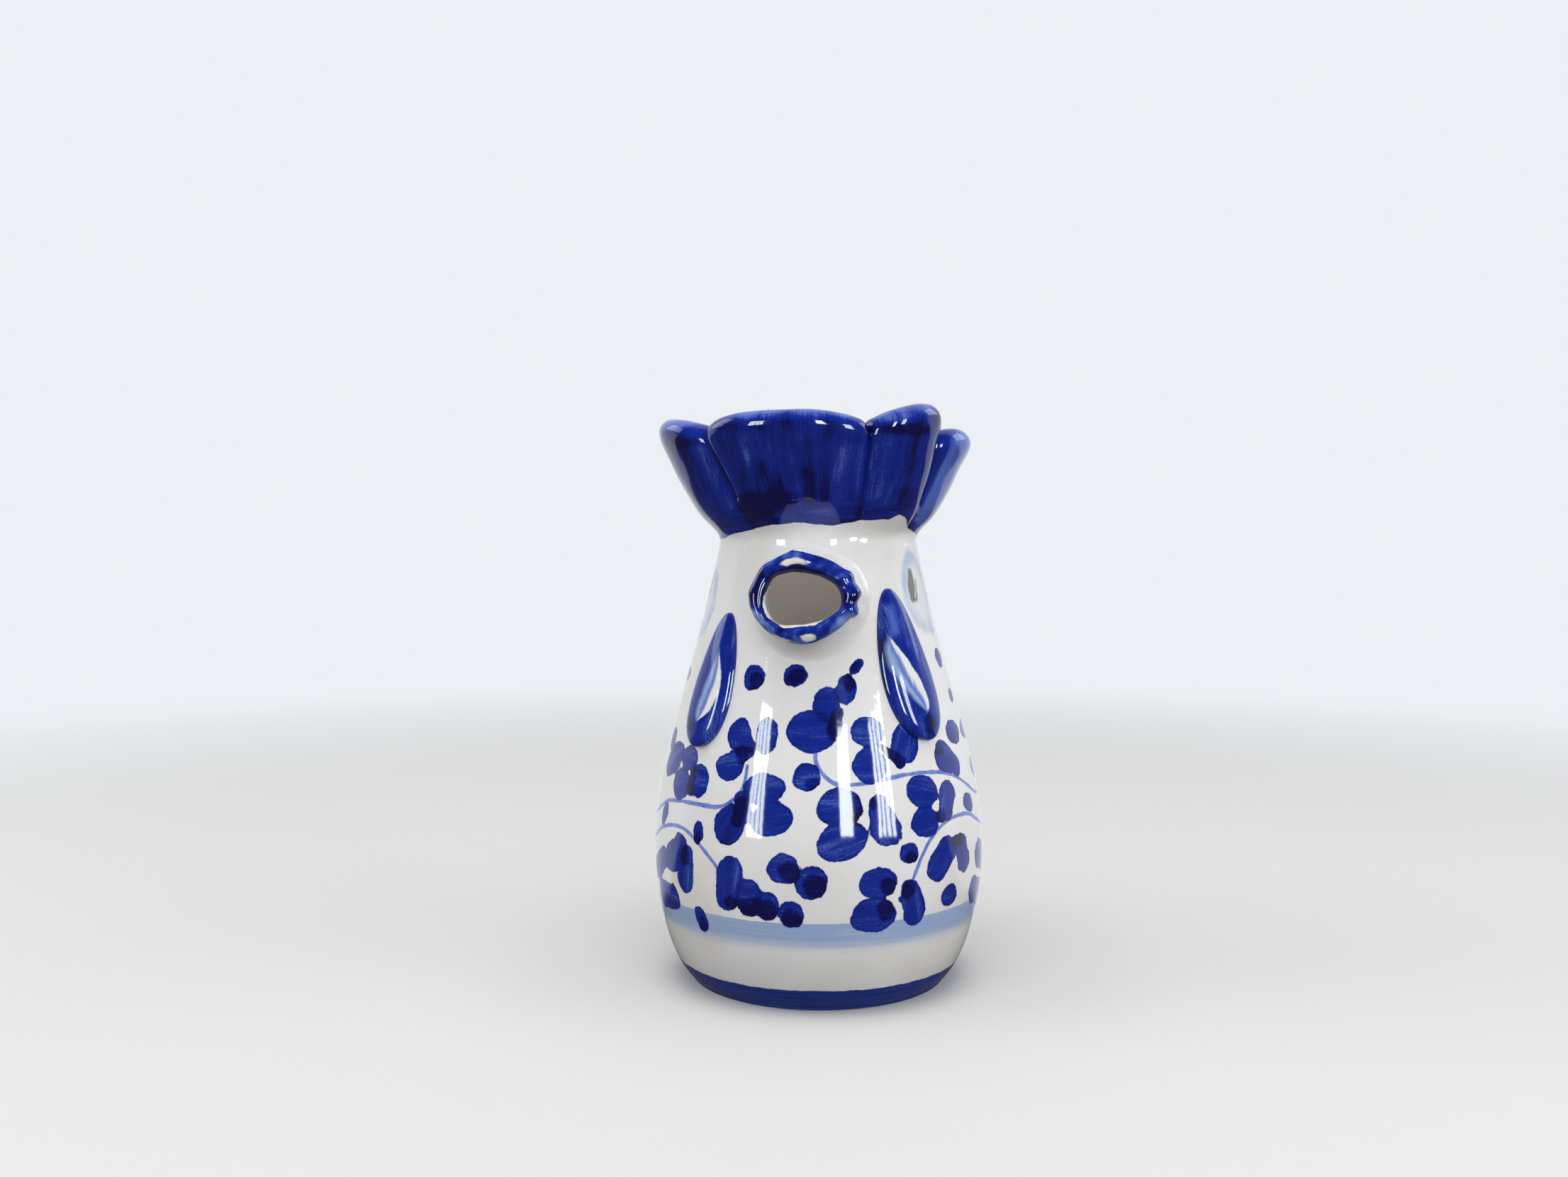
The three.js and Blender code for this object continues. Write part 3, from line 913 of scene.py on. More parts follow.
# Chips in the beak's paint: a turn round the mouth, how far out of the bead's middle, and half sizes
BEAK_CHIPS = [(102, -0.2, 3.1, 0.85), (-83, 1.0, 1.6, 0.9), (-116, 1.7, 2.2, 0.6)]

# Thin paint on the bead's outer side, and thick paint all over it: a turn, how much and a spread
BEAK_THIN = [(206, 2.6, 12), (228, 1.3, 12), (-36, 2.3, 15), (105, 0.9, 18), (266, 0.6, 10), (133, 0.8, 6)]
BEAK_THICK = [(62, 0.15, 12), (-2, 0.9, 13), (178, 1.1, 13), (150, 0.4, 10), (242, 1.0, 6)]

# Mean radius of the bead in millimetres
BEAD_RADIUS = 11

# How far the blue reaches from the bead's middle, in millimetres: out over its outer side, into the mouth,
# and how much deeper it runs there at the top and on the right
BLUE_OUT = 2.1
BLUE_IN = 2.3
BLUE_IN_TOP = 0.8
BLUE_IN_RIGHT = 0.4


def bumps(rows, turns):
    """Sum of smooth bumps at turns in degrees, each given by its turn, size and spread."""
    return sum(size * np.exp(-(turn_between(turns, turn) / spread) ** 2) for turn, size, spread in rows)


def beak_edge(turns):
    """How much further the blue reaches out over the bead, in millimetres, by the turn round the mouth."""
    return 1.0 + 0.5 * np.sin(np.radians(3 * turns + 40)) + 0.35 * np.sin(np.radians(7 * turns))


def beak_wash(turns, outwards, inwards):
    """How thin the paint lies on the bead: by its turn, in mottles, and darker inside the top of the hole as
    painted shade.
    """
    mottles = np.sin(np.radians(17 * turns + 70 * outwards)) * np.sin(np.radians(7 * turns - 40 * outwards))
    thin = bumps(BEAK_THIN, turns) * ease(outwards, -1.0, 1.3)
    # Painted shade: the blue darkens inside the top of the mouth, under the upper lip
    shaded = 1.2 * ease(inwards, 0.8, 1.8) * np.clip(np.sin(np.radians(turns)), 0, 1)
    return thin - bumps(BEAK_THICK, turns) - shaded + 0.4 * mottles


def paint_beak(piece, turns, outwards, inwards):
    """A blue bead with chips, on a white beak."""
    start_painting(piece)
    chips = [
        (np.hypot(np.radians(turn_between(turns, turn)) * BEAD_RADIUS / long, (outwards - out) / broad) - 1)
        * broad
        for turn, out, long, broad in BEAK_CHIPS
    ]
    upper = np.sin(np.radians(turns))
    right = np.cos(np.radians(turns))
    outer = outwards - BLUE_OUT - beak_edge(turns)
    inner = inwards - BLUE_IN - BLUE_IN_TOP * upper - BLUE_IN_RIGHT * right
    store(piece, "paint", np.maximum(outer, inner))
    store(piece, "chip", np.min(chips, axis=0))
    store(piece, "wash", beak_wash(turns, outwards, inwards))
    store_strokes(piece, outwards, np.radians(turns) * BEAD_RADIUS, BEAK_STROKE)


# Brush strokes across the back of the handle: how many, and their half sizes in millimetres
HANDLE_STROKES = 9
HANDLE_STROKE_HALF_LENGTH = 3.2
HANDLE_STROKE_HALF_WIDTH = 2.0


def paint_handle(piece, share, run, across, outside):
    """A ladder of short strokes down the outside of the handle."""
    start_painting(piece)
    along = share * run
    spacing = run / (HANDLE_STROKES + 1)
    number = np.clip(np.round(along / spacing), 1, HANDLE_STROKES)
    offset = along - number * spacing
    beyond = np.maximum(np.abs(across) - HANDLE_STROKE_HALF_LENGTH, 0)
    reach = np.hypot(beyond, offset) - HANDLE_STROKE_HALF_WIDTH
    store(piece, "paint", np.where(outside, reach, FAR))
    store_strokes(piece, offset, across, number * HANDLE_NUMBERS)


# Shader wiring


class Wiring:
    """Adds nodes to a tree. An input takes a socket to link or a value to hold."""

    def __init__(self, tree):
        self.tree = tree

    def add(self, kind, inputs=(), **choices):
        node = self.tree.nodes.new(kind)
        for name, choice in choices.items():
            setattr(node, name, choice)
        for key, value in dict(inputs).items():
            self.join(node.inputs[key], value)
        return node

    def join(self, socket, value):
        """Links a socket, or lets it hold a value; a colour covers fully."""
        if isinstance(value, bpy.types.NodeSocket):
            self.tree.links.new(value, socket)
        elif socket.type == "RGBA":
            socket.default_value = (*value, 1.0)
        else:
            socket.default_value = value

    def math(self, operation, first, second=0.0):
        return self.add("ShaderNodeMath", {0: first, 1: second}, operation=operation).outputs[0]

    def plus(self, first, second):
        return self.math("ADD", first, second)

    def less(self, first, second):
        return self.math("SUBTRACT", first, second)

    def times(self, first, *factors):
        for factor in factors:
            first = self.math("MULTIPLY", first, factor)
        return first

    def inverse(self, mask):
        """The mask of what a mask leaves free."""
        return self.math("SUBTRACT", 1.0, mask)

    def step(self, value, low, high):
        """0 below low and 1 above high, smooth between them."""
        inputs = {"Value": value, "From Min": low, "From Max": high}
        return self.add("ShaderNodeMapRange", inputs, interpolation_type="SMOOTHSTEP").outputs["Result"]

    def mix(self, factor, first, second):
        inputs = {0: factor, 6: first, 7: second}
        return self.add("ShaderNodeMix", inputs, data_type="RGBA").outputs[2]

    def scaled(self, vector, scale):
        return self.add("ShaderNodeVectorMath", {0: vector, 1: scale}, operation="MULTIPLY").outputs[0]

    def noise(self, vector, scale, detail, roughness=0.5):
        inputs = {"Vector": vector, "Scale": scale, "Detail": detail, "Roughness": roughness}
        return self.add("ShaderNodeTexNoise", inputs).outputs["Fac"]

    def streaks(self, vector, fineness, detail, roughness=0.5):
        """Noise that is drawn out along an axis: fineness is how finely it lies along each one."""
        return self.noise(self.scaled(vector, fineness), 1.0, detail, roughness)

    def attribute(self, name, output="Fac"):
        return self.add("ShaderNodeAttribute", attribute_name=name).outputs[output]

    def group(self, name, **inputs):
        """A shared effect, which is built when it is first asked for."""
        if name not in bpy.data.node_groups:
            EFFECTS[name]()
        node = self.add("ShaderNodeGroup", node_tree=bpy.data.node_groups[name])
        for key, value in inputs.items():
            self.join(node.inputs[key.title()], value)
        return node.outputs


def effect(name, inputs, outputs):
    """An empty effect that several glazes use, with its wiring and its two ends."""
    tree = bpy.data.node_groups.new(name, "ShaderNodeTree")
    for socket, kind, value in inputs:
        tree.interface.new_socket(socket, in_out="INPUT", socket_type=kind).default_value = value
    for socket, kind in outputs:
        tree.interface.new_socket(socket, in_out="OUTPUT", socket_type=kind)
    wiring = Wiring(tree)
    return wiring, wiring.add("NodeGroupInput").outputs, wiring.add("NodeGroupOutput").inputs


VALUE = "NodeSocketFloat"
PLACE = "NodeSocketVector"
COLOUR = "NodeSocketColor"
BLACK = (0.0, 0.0, 0.0, 1.0)
ORIGIN = (0.0, 0.0, 0.0)


def painted_edge_effect():
    """Turns a distance from a painted mark into a mask with the unsteady edge of a brush."""
    wiring, given, made = effect(
        "Painted Edge",
        [
            ("Distance", VALUE, 0.0), ("Place", PLACE, ORIGIN),
            ("Wobble", VALUE, 0.5), ("Softness", VALUE, 0.12),
        ],
        [("Mask", VALUE), ("Depth", VALUE)],
    )
    broad = wiring.less(wiring.noise(given["Place"], scale=0.27, detail=1.0), 0.5)
    fine = wiring.less(wiring.noise(given["Place"], scale=1.1, detail=2.0), 0.5)
    unsteady = wiring.plus(wiring.times(broad, 2.6), fine)
    moved = wiring.plus(given["Distance"], wiring.times(unsteady, given["Wobble"]))
    low = wiring.times(given["Softness"], -1.0)
    outside = wiring.step(moved, low, given["Softness"])
    wiring.join(made["Mask"], wiring.inverse(outside))
    wiring.join(made["Depth"], wiring.times(moved, -1.0))


def cobalt_effect():
    """Cobalt laid on with a brush: bristle lines and broad sweeps along the stroke, and grain."""
    wiring, given, made = effect(
        "Brushed Cobalt",
        [
            ("Stroke", PLACE, ORIGIN), ("Place", PLACE, ORIGIN), ("Load", VALUE, 0.5),
            ("Thin", COLOUR, BLACK), ("Coat", COLOUR, BLACK), ("Pooled", COLOUR, BLACK),
        ],
        [("Color", COLOUR)],
    )
    bristles = wiring.streaks(given["Stroke"], (2.6, 0.2, 1.0), detail=3.0, roughness=0.6)
    sweeps = wiring.streaks(given["Stroke"], (0.34, 0.05, 1.0), detail=1.0)
    grain = wiring.noise(given["Place"], scale=3.2, detail=2.0, roughness=0.7)
    load = given["Load"]
    for texture, weight in ((bristles, 0.65), (sweeps, 0.85), (grain, 0.6)):
        load = wiring.plus(load, wiring.times(wiring.less(texture, 0.5), weight))
    coat = wiring.mix(wiring.step(load, 0.05, 0.5), given["Thin"], given["Coat"])
    wiring.join(made["Color"], wiring.mix(wiring.step(load, 0.55, 1.0), coat, given["Pooled"]))


def white_effect():
    """White glaze, a little warmer where it runs thin, with a few dark specks."""
    wiring, given, made = effect(
        "White Glaze",
        [
            ("Place", PLACE, ORIGIN), ("White", COLOUR, BLACK),
            ("Warm", COLOUR, BLACK), ("Speck", COLOUR, BLACK),
        ],
        [("Color", COLOUR)],
    )
    thin = wiring.step(wiring.noise(given["Place"], scale=0.045, detail=3.0), 0.45, 0.75)
    base = wiring.mix(thin, given["White"], given["Warm"])
    cells = wiring.add("ShaderNodeTexVoronoi", {"Vector": given["Place"], "Scale": 0.12})
    drawn = wiring.add("ShaderNodeSeparateColor", {0: cells.outputs["Color"]}).outputs[0]
    chosen = wiring.step(drawn, 0.55, 0.56)
    close = wiring.inverse(wiring.step(cells.outputs["Distance"], 0.018, 0.034))
    specks = wiring.times(chosen, close, 0.6)
    wiring.join(made["Color"], wiring.mix(specks, base, given["Speck"]))


def gloss_effect():
    """Roughness and height of a fired glaze: slow waves, and a faint bite where pigment lies."""
    wiring, given, made = effect(
        "Fired Gloss",
        [("Place", PLACE, ORIGIN), ("Pigment", VALUE, 0.0)],
        [("Roughness", VALUE), ("Height", VALUE)],
    )
    waves = wiring.noise(given["Place"], scale=0.11, detail=1.0)
    ripples = wiring.noise(given["Place"], scale=0.5, detail=2.0)
    grain = wiring.noise(given["Place"], scale=2.5, detail=2.0)
    bite = wiring.times(given["Pigment"], grain, 0.06)
    base = wiring.plus(wiring.times(ripples, 0.02), 0.022)
    wiring.join(made["Roughness"], wiring.plus(base, bite))
    height = wiring.plus(waves, wiring.times(ripples, 0.10))
    wiring.join(made["Height"], wiring.plus(height, wiring.times(bite, 0.10)))


EFFECTS = {
    "Painted Edge": painted_edge_effect,
    "Brushed Cobalt": cobalt_effect,
    "White Glaze": white_effect,
    "Fired Gloss": gloss_effect,
}


class Glaze:
    """One glaze under construction: a colour that layers are painted on, and how much pigment lies on it."""

    def __init__(self, name):
        self.material = bpy.data.materials.new(name)
        self.material.use_nodes = True
        self.material.node_tree.nodes.clear()
        self.wiring = Wiring(self.material.node_tree)
        self.paint = settings().paint
        coordinates = self.wiring.add("ShaderNodeTexCoord").outputs["Object"]
        self.place = self.wiring.scaled(coordinates, (1 / MM, 1 / MM, 1 / MM))
        self.height = self.wiring.add("ShaderNodeSeparateXYZ", {0: self.place}).outputs["Z"]
        self.pigment = 0.0
        self.colour = self.wiring.group(
            "White Glaze",
            place=self.place,
            white=self.paint.white,
            warm=self.paint.warm,
            speck=self.paint.navy,
        )["Color"]

    def edge(self, distance, wobble, softness):
        """Mask and depth of a mark, from the name of a stored distance or a distance itself."""
        if isinstance(distance, str):
            distance = self.wiring.attribute(distance)
        return self.wiring.group(
            "Painted Edge", distance=distance, place=self.place, wobble=wobble, softness=softness
        )

    def lay(self, mask, colour):
        """Paints a colour over what is there."""
        self.colour = self.wiring.mix(mask, self.colour, colour)
        self.pigment = self.wiring.math("MAXIMUM", self.pigment, mask)

    def brushed(self, load):
        """Cobalt with a load of pigment, along the piece's strokes."""
        return self.wiring.group(
            "Brushed Cobalt",
            stroke=self.wiring.attribute("stroke", "Vector"),
            place=self.place,
            load=load,
            thin=self.paint.thin,
            coat=self.paint.cobalt,
            pooled=self.paint.navy,
        )["Color"]

    def lay_cobalt(self, load, wobble=0.45):
        """The cobalt marks of a piece, darker where strokes cross, pool or dry at their edge."""
        wiring = self.wiring
        edge = self.edge("paint", wobble, softness=0.14)
        crossing = self.edge("overlap", wobble=0.3, softness=0.5)["Mask"]
        pooled = self.edge("pool", wobble=0.7, softness=0.5)["Mask"]
        rim = wiring.inverse(wiring.step(edge["Depth"], 0.1, 0.9))
        for mask, weight in ((crossing, 0.26), (pooled, 0.45), (rim, 0.16)):
            load = wiring.plus(load, wiring.times(mask, weight))
        load = wiring.less(load, wiring.times(wiring.attribute("wash"), 0.5))
        self.lay(edge["Mask"], self.brushed(load))

    def lay_foot_band(self):
        """Smooth blue round the foot, up to the slab's top edge."""
        wiring, paint = self.wiring, self.paint
        edge = self.edge("foot", wobble=0.28, softness=0.12)["Mask"]
        low = wiring.step(self.height, 0.1, 0.3)
        dark = wiring.step(wiring.streaks(self.place, (0.05, 0.05, 1.1), detail=3.0), 0.35, 0.75)
        blue = wiring.mix(dark, paint.foot, paint.navy)
        self.lay(wiring.times(edge, low), wiring.mix(0.5, blue, paint.foot))

    def finish(self, unevenness=0.16):
        """Closes the glaze: clear gloss with slow waves over the painting."""
        wiring = self.wiring
        gloss = wiring.group("Fired Gloss", place=self.place, pigment=self.pigment)
        bump = wiring.add("ShaderNodeBump", {
            "Strength": unevenness,
            "Distance": 0.4 * MM,
            "Height": gloss["Height"],
        })
        shader = wiring.add("ShaderNodeBsdfPrincipled", {
            "Base Color": self.colour,
            "Roughness": gloss["Roughness"],
            "Normal": bump.outputs["Normal"],
            "IOR": 1.52,
        })
        output = wiring.add("ShaderNodeOutputMaterial")
        wiring.join(output.inputs["Surface"], shader.outputs["BSDF"])
        return self.material


# Pale band above the foot, in millimetres: its crisp top edge, how ragged its soft lower edge is, and the
# heights between which that edge fades at its highest
PALE_BAND_TOP = 24.6
PALE_BAND_RAGGED = 2.4
PALE_BAND_FULL = 22.2
PALE_BAND_END = 17.4


def body_glaze():
    """White with the pale band, eyes, tendrils and cobalt leaves."""
    coat = Glaze("body_glaze")
    wiring, paint = coat.wiring, coat.paint
    coat.lay_foot_band()
    top = coat.edge(wiring.less(coat.height, PALE_BAND_TOP), wobble=0.18, softness=0.16)["Mask"]
    ragged = wiring.times(wiring.streaks(coat.place, (0.05, 0.05, 0.6), detail=3.0), PALE_BAND_RAGGED)
    low = wiring.step(wiring.plus(coat.height, ragged), PALE_BAND_END, PALE_BAND_FULL)
    streaks = wiring.step(wiring.streaks(coat.place, (0.06, 0.06, 1.5), detail=4.0), 0.2, 0.75)
    load = wiring.plus(0.8, wiring.times(streaks, 0.2))
    coat.lay(wiring.times(top, low, load), paint.pale)
    halo = coat.edge("pale", wobble=0.5, softness=0.9)
    clouds = wiring.step(wiring.noise(coat.place, scale=0.22, detail=3.0), 0.25, 0.7)
    inner = wiring.inverse(wiring.times(wiring.step(halo["Depth"], 1.0, 5.0), 0.75))
    watered = wiring.plus(0.34, wiring.times(clouds, 0.4))
    coat.lay(wiring.times(inner, watered, halo["Mask"]), paint.pale)
    side = wiring.math("ABSOLUTE", wiring.attribute("vine_side"))
    line = coat.edge(wiring.less(side, TENDRIL_HALF_WIDTH), wobble=0.22, softness=0.16)["Mask"]
    near = wiring.inverse(wiring.step(wiring.attribute("vine"), 0.9, 1.1))
    faint = wiring.plus(0.6, wiring.times(wiring.noise(coat.place, scale=0.5, detail=3.0), 0.6))
    coat.lay(wiring.times(line, near, faint), paint.vine)
    coat.lay(wiring.times(coat.edge("pupil", wobble=0.3, softness=0.4)["Mask"], 0.9), paint.pupil)
    coat.lay_cobalt(load=0.5, wobble=0.6)
    # Painted warm light: a warm tint over the inside of the body
    coat.lay(wiring.step(wiring.attribute("inside"), 0.3, 0.7), paint.inside)
    return coat.finish()


def foot_glaze():
    """Blue band, with bare clay under the foot."""
    coat = Glaze("foot_glaze")
    coat.lay_foot_band()
    bare = coat.wiring.inverse(coat.wiring.step(coat.height, 0.02, 0.2))
    coat.lay(bare, coat.paint.clay)
    return coat.finish()


def comb_glaze():
    """Deep, streaky cobalt down to the wavy edge on the neck."""
    coat = Glaze("comb_glaze")
    coat.lay_cobalt(load=0.66, wobble=0.22)
    return coat.finish(unevenness=0.3)


def wattle_glaze():
    """A cobalt border round a pale leaf."""
    coat = Glaze("wattle_glaze")
    wiring, paint = coat.wiring, coat.paint
    coat.lay_cobalt(load=0.5)
    tone = wiring.attribute("tone")
    soft = wiring.plus(0.22, wiring.times(wiring.step(tone, 0.2, -0.9), 0.7))
    leaf = coat.edge("pale", wobble=0.35, softness=soft)["Mask"]
    streaks = wiring.streaks(wiring.attribute("stroke", "Vector"), (0.7, 0.1, 1.0), detail=3.0)
    tone = wiring.plus(tone, wiring.times(wiring.less(streaks, 0.5), 1.3))
    middle = wiring.mix(wiring.step(tone, 0.55, -0.1), paint.white, paint.pale)
    line = wiring.times(wiring.step(tone, -0.55, -0.2), wiring.step(tone, 0.3, -0.05))
    coat.lay(leaf, wiring.mix(wiring.times(line, 0.75), middle, paint.thin))
    return coat.finish()


def spout_glaze():
    """White beak with a mottled cobalt bead and bare chips."""
    coat = Glaze("spout_glaze")
    wiring = coat.wiring
    coat.lay_cobalt(load=0.6, wobble=0.5)
    thin = wiring.times(wiring.step(wiring.attribute("wash"), 0.9, 2.2), 0.7)
    painted = coat.edge("paint", wobble=0.5, softness=0.14)["Mask"]
    coat.lay(wiring.times(painted, thin), coat.paint.pale)
    coat.lay(coat.edge("chip", wobble=0.4, softness=0.2)["Mask"], coat.paint.chip)
    return coat.finish(unevenness=0.35)


def handle_glaze():
    """White strap with short cobalt strokes."""
    coat = Glaze("handle_glaze")
    coat.lay_cobalt(load=0.5)
    return coat.finish()


# Pieces


# Segments round the turned pieces, and rows along the outside and the inside of the body
BODY_SEGMENTS = 400
OUTER_ROWS = 150
INNER_ROWS = 40

# Points on the foot's rounding and up its side; the rounding stops a little short of level
EDGE_POINTS = 6
SIDE_POINTS = 9
EDGE_ROUND_END = -0.2


def base_slab_profile(body):
    """From the axis under the foot, over the rounded edge and the outside, back to the axis on top."""
    rounding = body.foot_round
    middle = body_radius(rounding) - rounding
    arc = np.linspace(-math.pi / 2, EDGE_ROUND_END, EDGE_POINTS)
    edge = zip(middle + rounding * np.cos(arc), rounding + rounding * np.sin(arc))
    heights = np.linspace(rounding, body.foot_height, SIDE_POINTS)
    return [(0, 0), *edge, *zip(body_radius(heights), heights), (0, body.foot_height)]


class JUG_OT_base_slab(Operator):
    """Turn the base slab with the blue foot band"""

    bl_idname = "jug.base_slab"
    bl_label = "Base Slab"

    def execute(self, context):
        body = settings().body
        piece = turned_piece("jug_base_slab", base_slab_profile(body), BODY_SEGMENTS)
        start_painting(piece)
        points = points_of(piece)
        paint_foot_band(piece, np.hypot(points[:, 0], points[:, 1]) > body.foot_radius - body.wall)
        glaze(piece, "base_slab", foot_glaze())
        return {"FINISHED"}


def beak_place(out, across, up):
    """A place on the beak, from its distance out of the neck's face and its place in the section."""
    body, beak = settings().body, settings().beak
    height = body.neck_height - beak.drop
    share = np.clip(out / beak.reach, 0, 1)
    back = np.tan(beak.tilt * share) * up
    return np.stack(np.broadcast_arrays(
        across + beak.lean * share,
        -body_radius(height) - out + back,
        height - beak.root_drop * (1 - share) + up,
    ), axis=-1)


def mouth(turns, wider=0.0):
    """The beak's opening, or one that is wider by some width, as places across and up."""
    beak = settings().beak
    return np.array(egg(
        beak.hole_width + wider, beak.hole_height + wider, beak.hole_taper, turns, beak.hole_fullness
    ))


# The plug that pierces the wall: its corners round and along, the room between it and the bore, and its start
# behind the neck's face and its length, in thicknesses of the wall
PLUG_GRID = (64, 3)
PLUG_ROOM = 0.8 * MM
PLUG_START = -4
PLUG_LENGTH = 6


def bore_cutter():
    """A plug a little wider than the bore of the beak, to pierce the wall."""
    wall = settings().body.wall
    wider = 2 * (settings().beak.bore_spread + PLUG_ROOM)

    def place(across, along):
        right, up = mouth(across * FULL_TURN, wider)
        return (beak_place(PLUG_START * wall + PLUG_LENGTH * wall * along, right, up),)

    plug, = shaped_sheet("bore_cutter", *PLUG_GRID, place, fill=True)
    return plug


class JUG_OT_body_wall(Operator):
    """Turn the hollow body, pierce it at the beak and paint it"""

    bl_idname = "jug.body_wall"
    bl_label = "Body Wall"

    def execute(self, context):
        body = settings().body
        outer = np.linspace(body.foot_height, body.neck_height, OUTER_ROWS)
        inner = np.linspace(body.neck_height, body.foot_height, INNER_ROWS)
        profile = [*zip(body_radius(outer), outer), *zip(body_radius(inner) - body.wall, inner)]
        piece = turned_piece("jug_body_wall", [*profile, profile[0]], BODY_SEGMENTS)
        cut_away(piece, bore_cutter())
        paint_body(piece)
        glaze(piece, "body_wall", body_glaze())
        return {"FINISHED"}


# Corners round the beak and along its skin, and the shares of the skin where its outside, its bead and its
# bore end; the rest is hidden inside the wall
BEAK_GRID = (128, 110)
BEAK_OUTSIDE = 0.42
BEAK_BEAD = 0.66
BEAK_BORE = 0.9

# How deep the beak's root is pressed into the wall
ROOT_SINK = 0.2 * MM

# How far the soft seam round the root runs inwards, and how much it lifts off at the sides
SEAM_RUN = 2.6 * MM
SEAM_LIFT = 0.35

# How far the tube runs straight behind the lip
TUBE_RUN = 8.5 * MM

# How far the tube's inner end stands clear of the wall, and how much wider it spreads there
INNER_ROOM = 0.15 * MM
INNER_SPREAD = 1.22

# Share of a lump by which the bead also bulges forward
LUMP_FORWARD = 0.4

# Length of the bore as the paint counts it, in millimetres
BORE_LENGTH = 12

# Depth and size of the pressed clay, and the distances from the bead's middle between which it evens out
BEAK_PRESS = (0.7 * MM, 4.6 * MM)
BEAK_PRESS_FADES = (2.4, 5)


def wall_front(across, heights, inset=0.0):
    """Where the wall's front lies along Y, or a face that is set in from it."""
    return -np.sqrt((body_radius(heights) - inset) ** 2 - across ** 2)


def beak_side(turns, edge, climb):
    """The beak's seat on the wall, and its outside from there to the edge of its lip."""
    body, beak = settings().body, settings().beak
    across, up = egg(beak.root_width, beak.root_height, 0, turns)
    heights = up + body.neck_height - beak.drop - beak.root_drop
    seat = np.stack([across, wall_front(across, heights) + ROOT_SINK, heights], axis=-1)
    seam = np.stack([-across, np.zeros(len(turns)), -up], axis=-1)
    seam /= np.linalg.norm(seam, axis=1)[:, None]
    seam[:, 1] = -SEAM_LIFT * np.abs(np.cos(turns))
    behind = edge + np.array([0, TUBE_RUN, 0])
    return seat, bezier([seat, seat + SEAM_RUN * seam, behind, edge], climb[:, None])


def beak_skin(turns, along):
    """Places on the beak, and how far they lie out of and into the bead's middle, in millimetres."""
    beak = settings().beak
    inner_face = settings().body.wall + INNER_ROOM
    climb = np.clip(along / BEAK_OUTSIDE, 0, 1)
    swing = np.pi * np.clip((along - BEAK_OUTSIDE) / (BEAK_BEAD - BEAK_OUTSIDE), 0, 1)
    depth = np.clip((along - BEAK_BEAD) / (BEAK_BORE - BEAK_BEAD), 0, 1)
    flange = np.clip((along - BEAK_BORE) / (1 - BEAK_BORE), 0, 1)
    drop = np.array([[0], [beak.hole_drop]])
    lump = bumps(BEAK_LUMPS, np.degrees(turns)) * MM
    lip = beak.reach - beak.bead
    outer = np.array(egg(beak.width + 2 * lump, beak.height + 2 * lump, beak.taper, turns))
    edge = beak_place(lip, *outer)
    seat, side = beak_side(turns, edge, climb)
    hole = mouth(turns) - drop
    middle = (outer + hole) / 2
    section = middle + (outer - middle) * np.cos(swing)
    bead = beak_place(lip + (beak.bead + LUMP_FORWARD * lump) * np.sin(swing), *section)
    bore = mouth(turns, beak.bore_spread * 2 * depth) - drop
    inside = beak_place(lip, *bore)
    back = wall_front(inside[:, 0], inside[:, 2], inner_face)
    inside[:, 1] += (back - inside[:, 1]) * depth
    wide = beak_place(lip, *(bore * INNER_SPREAD))
    wide[:, 1] = wall_front(wide[:, 0], wide[:, 2], inner_face)
    hidden = bezier([inside, wide, seat], flange[:, None])
    places = np.select(
        [(along <= end)[:, None] for end in (BEAK_OUTSIDE, BEAK_BEAD, BEAK_BORE)],
        [side, bead, inside],
        hidden,
    )
    thick = np.linalg.norm(outer - hole, axis=0) / 2 / MM
    behind = np.linalg.norm(places - edge, axis=1) / MM
    outwards = np.where(along <= BEAK_OUTSIDE, thick + behind, thick * np.cos(swing))
    inwards = np.where(along > BEAK_BEAD, thick + depth * BORE_LENGTH, -outwards)
    return places, outwards, inwards


class JUG_OT_beak_spout(Operator):
    """Shape the hollow beak with its uneven painted bead"""

    bl_idname = "jug.beak_spout"
    bl_label = "Beak Spout"

    def execute(self, context):
        def place(across, along):
            turns = across * FULL_TURN
            places, outwards, inwards = beak_skin(turns, along)
            return places, np.degrees(turns), outwards, inwards

        piece, turns, outwards, inwards = shaped_sheet("jug_beak_spout", *BEAK_GRID, place)
        paint_beak(piece, turns, outwards, inwards)
        even = ease(np.maximum(outwards, inwards), *BEAK_PRESS_FADES)
        press_by_hand(piece, *BEAK_PRESS, 1 - even)
        glaze(piece, "beak_spout", spout_glaze())
        return {"FINISHED"}


# Creases between the lobes, at the neck rim and at the top, from the one left of the front lobe
CREASES = [(-29, -43), (25, 25), (61, 61), (119, 119), (187, 187), (255, 255)]

# Lobes from the front one round to the right, in millimetres: how far each stands above the comb, how far it
# rises to its second side, and how much deeper than a common crease its face falls back at its two sides
LOBES = [
    ("front", 0.4, 0.2, -1.6, -1.2),
    ("right", 2.2, 2.4, 0.4, -1.4),
    ("far_right", -1.8, 0, 1.2, 0),
    ("back_right", 0.4, 0.6, 0, 0),
    ("back_left", 0.2, -0.5, 0, 0),
    ("left", 0.9, -1.6, 0, 1.2),
]

# Corners over a lobe's skin and across it, and the shares of the skin where its outside, its lip and its
# inside end; the rest lies under its root
LOBE_GRID = (110, 64)
LOBE_OUTSIDE = 0.42
LOBE_LIP = 0.62
LOBE_INSIDE = 0.96

# Shares of the comb's rise between which a crease grows from nothing to its full depth
CREASE_FADES = (0.1, 0.5)

# How steeply the hollow between neck and comb is drawn in
ROOT_HOLLOW = 0.84

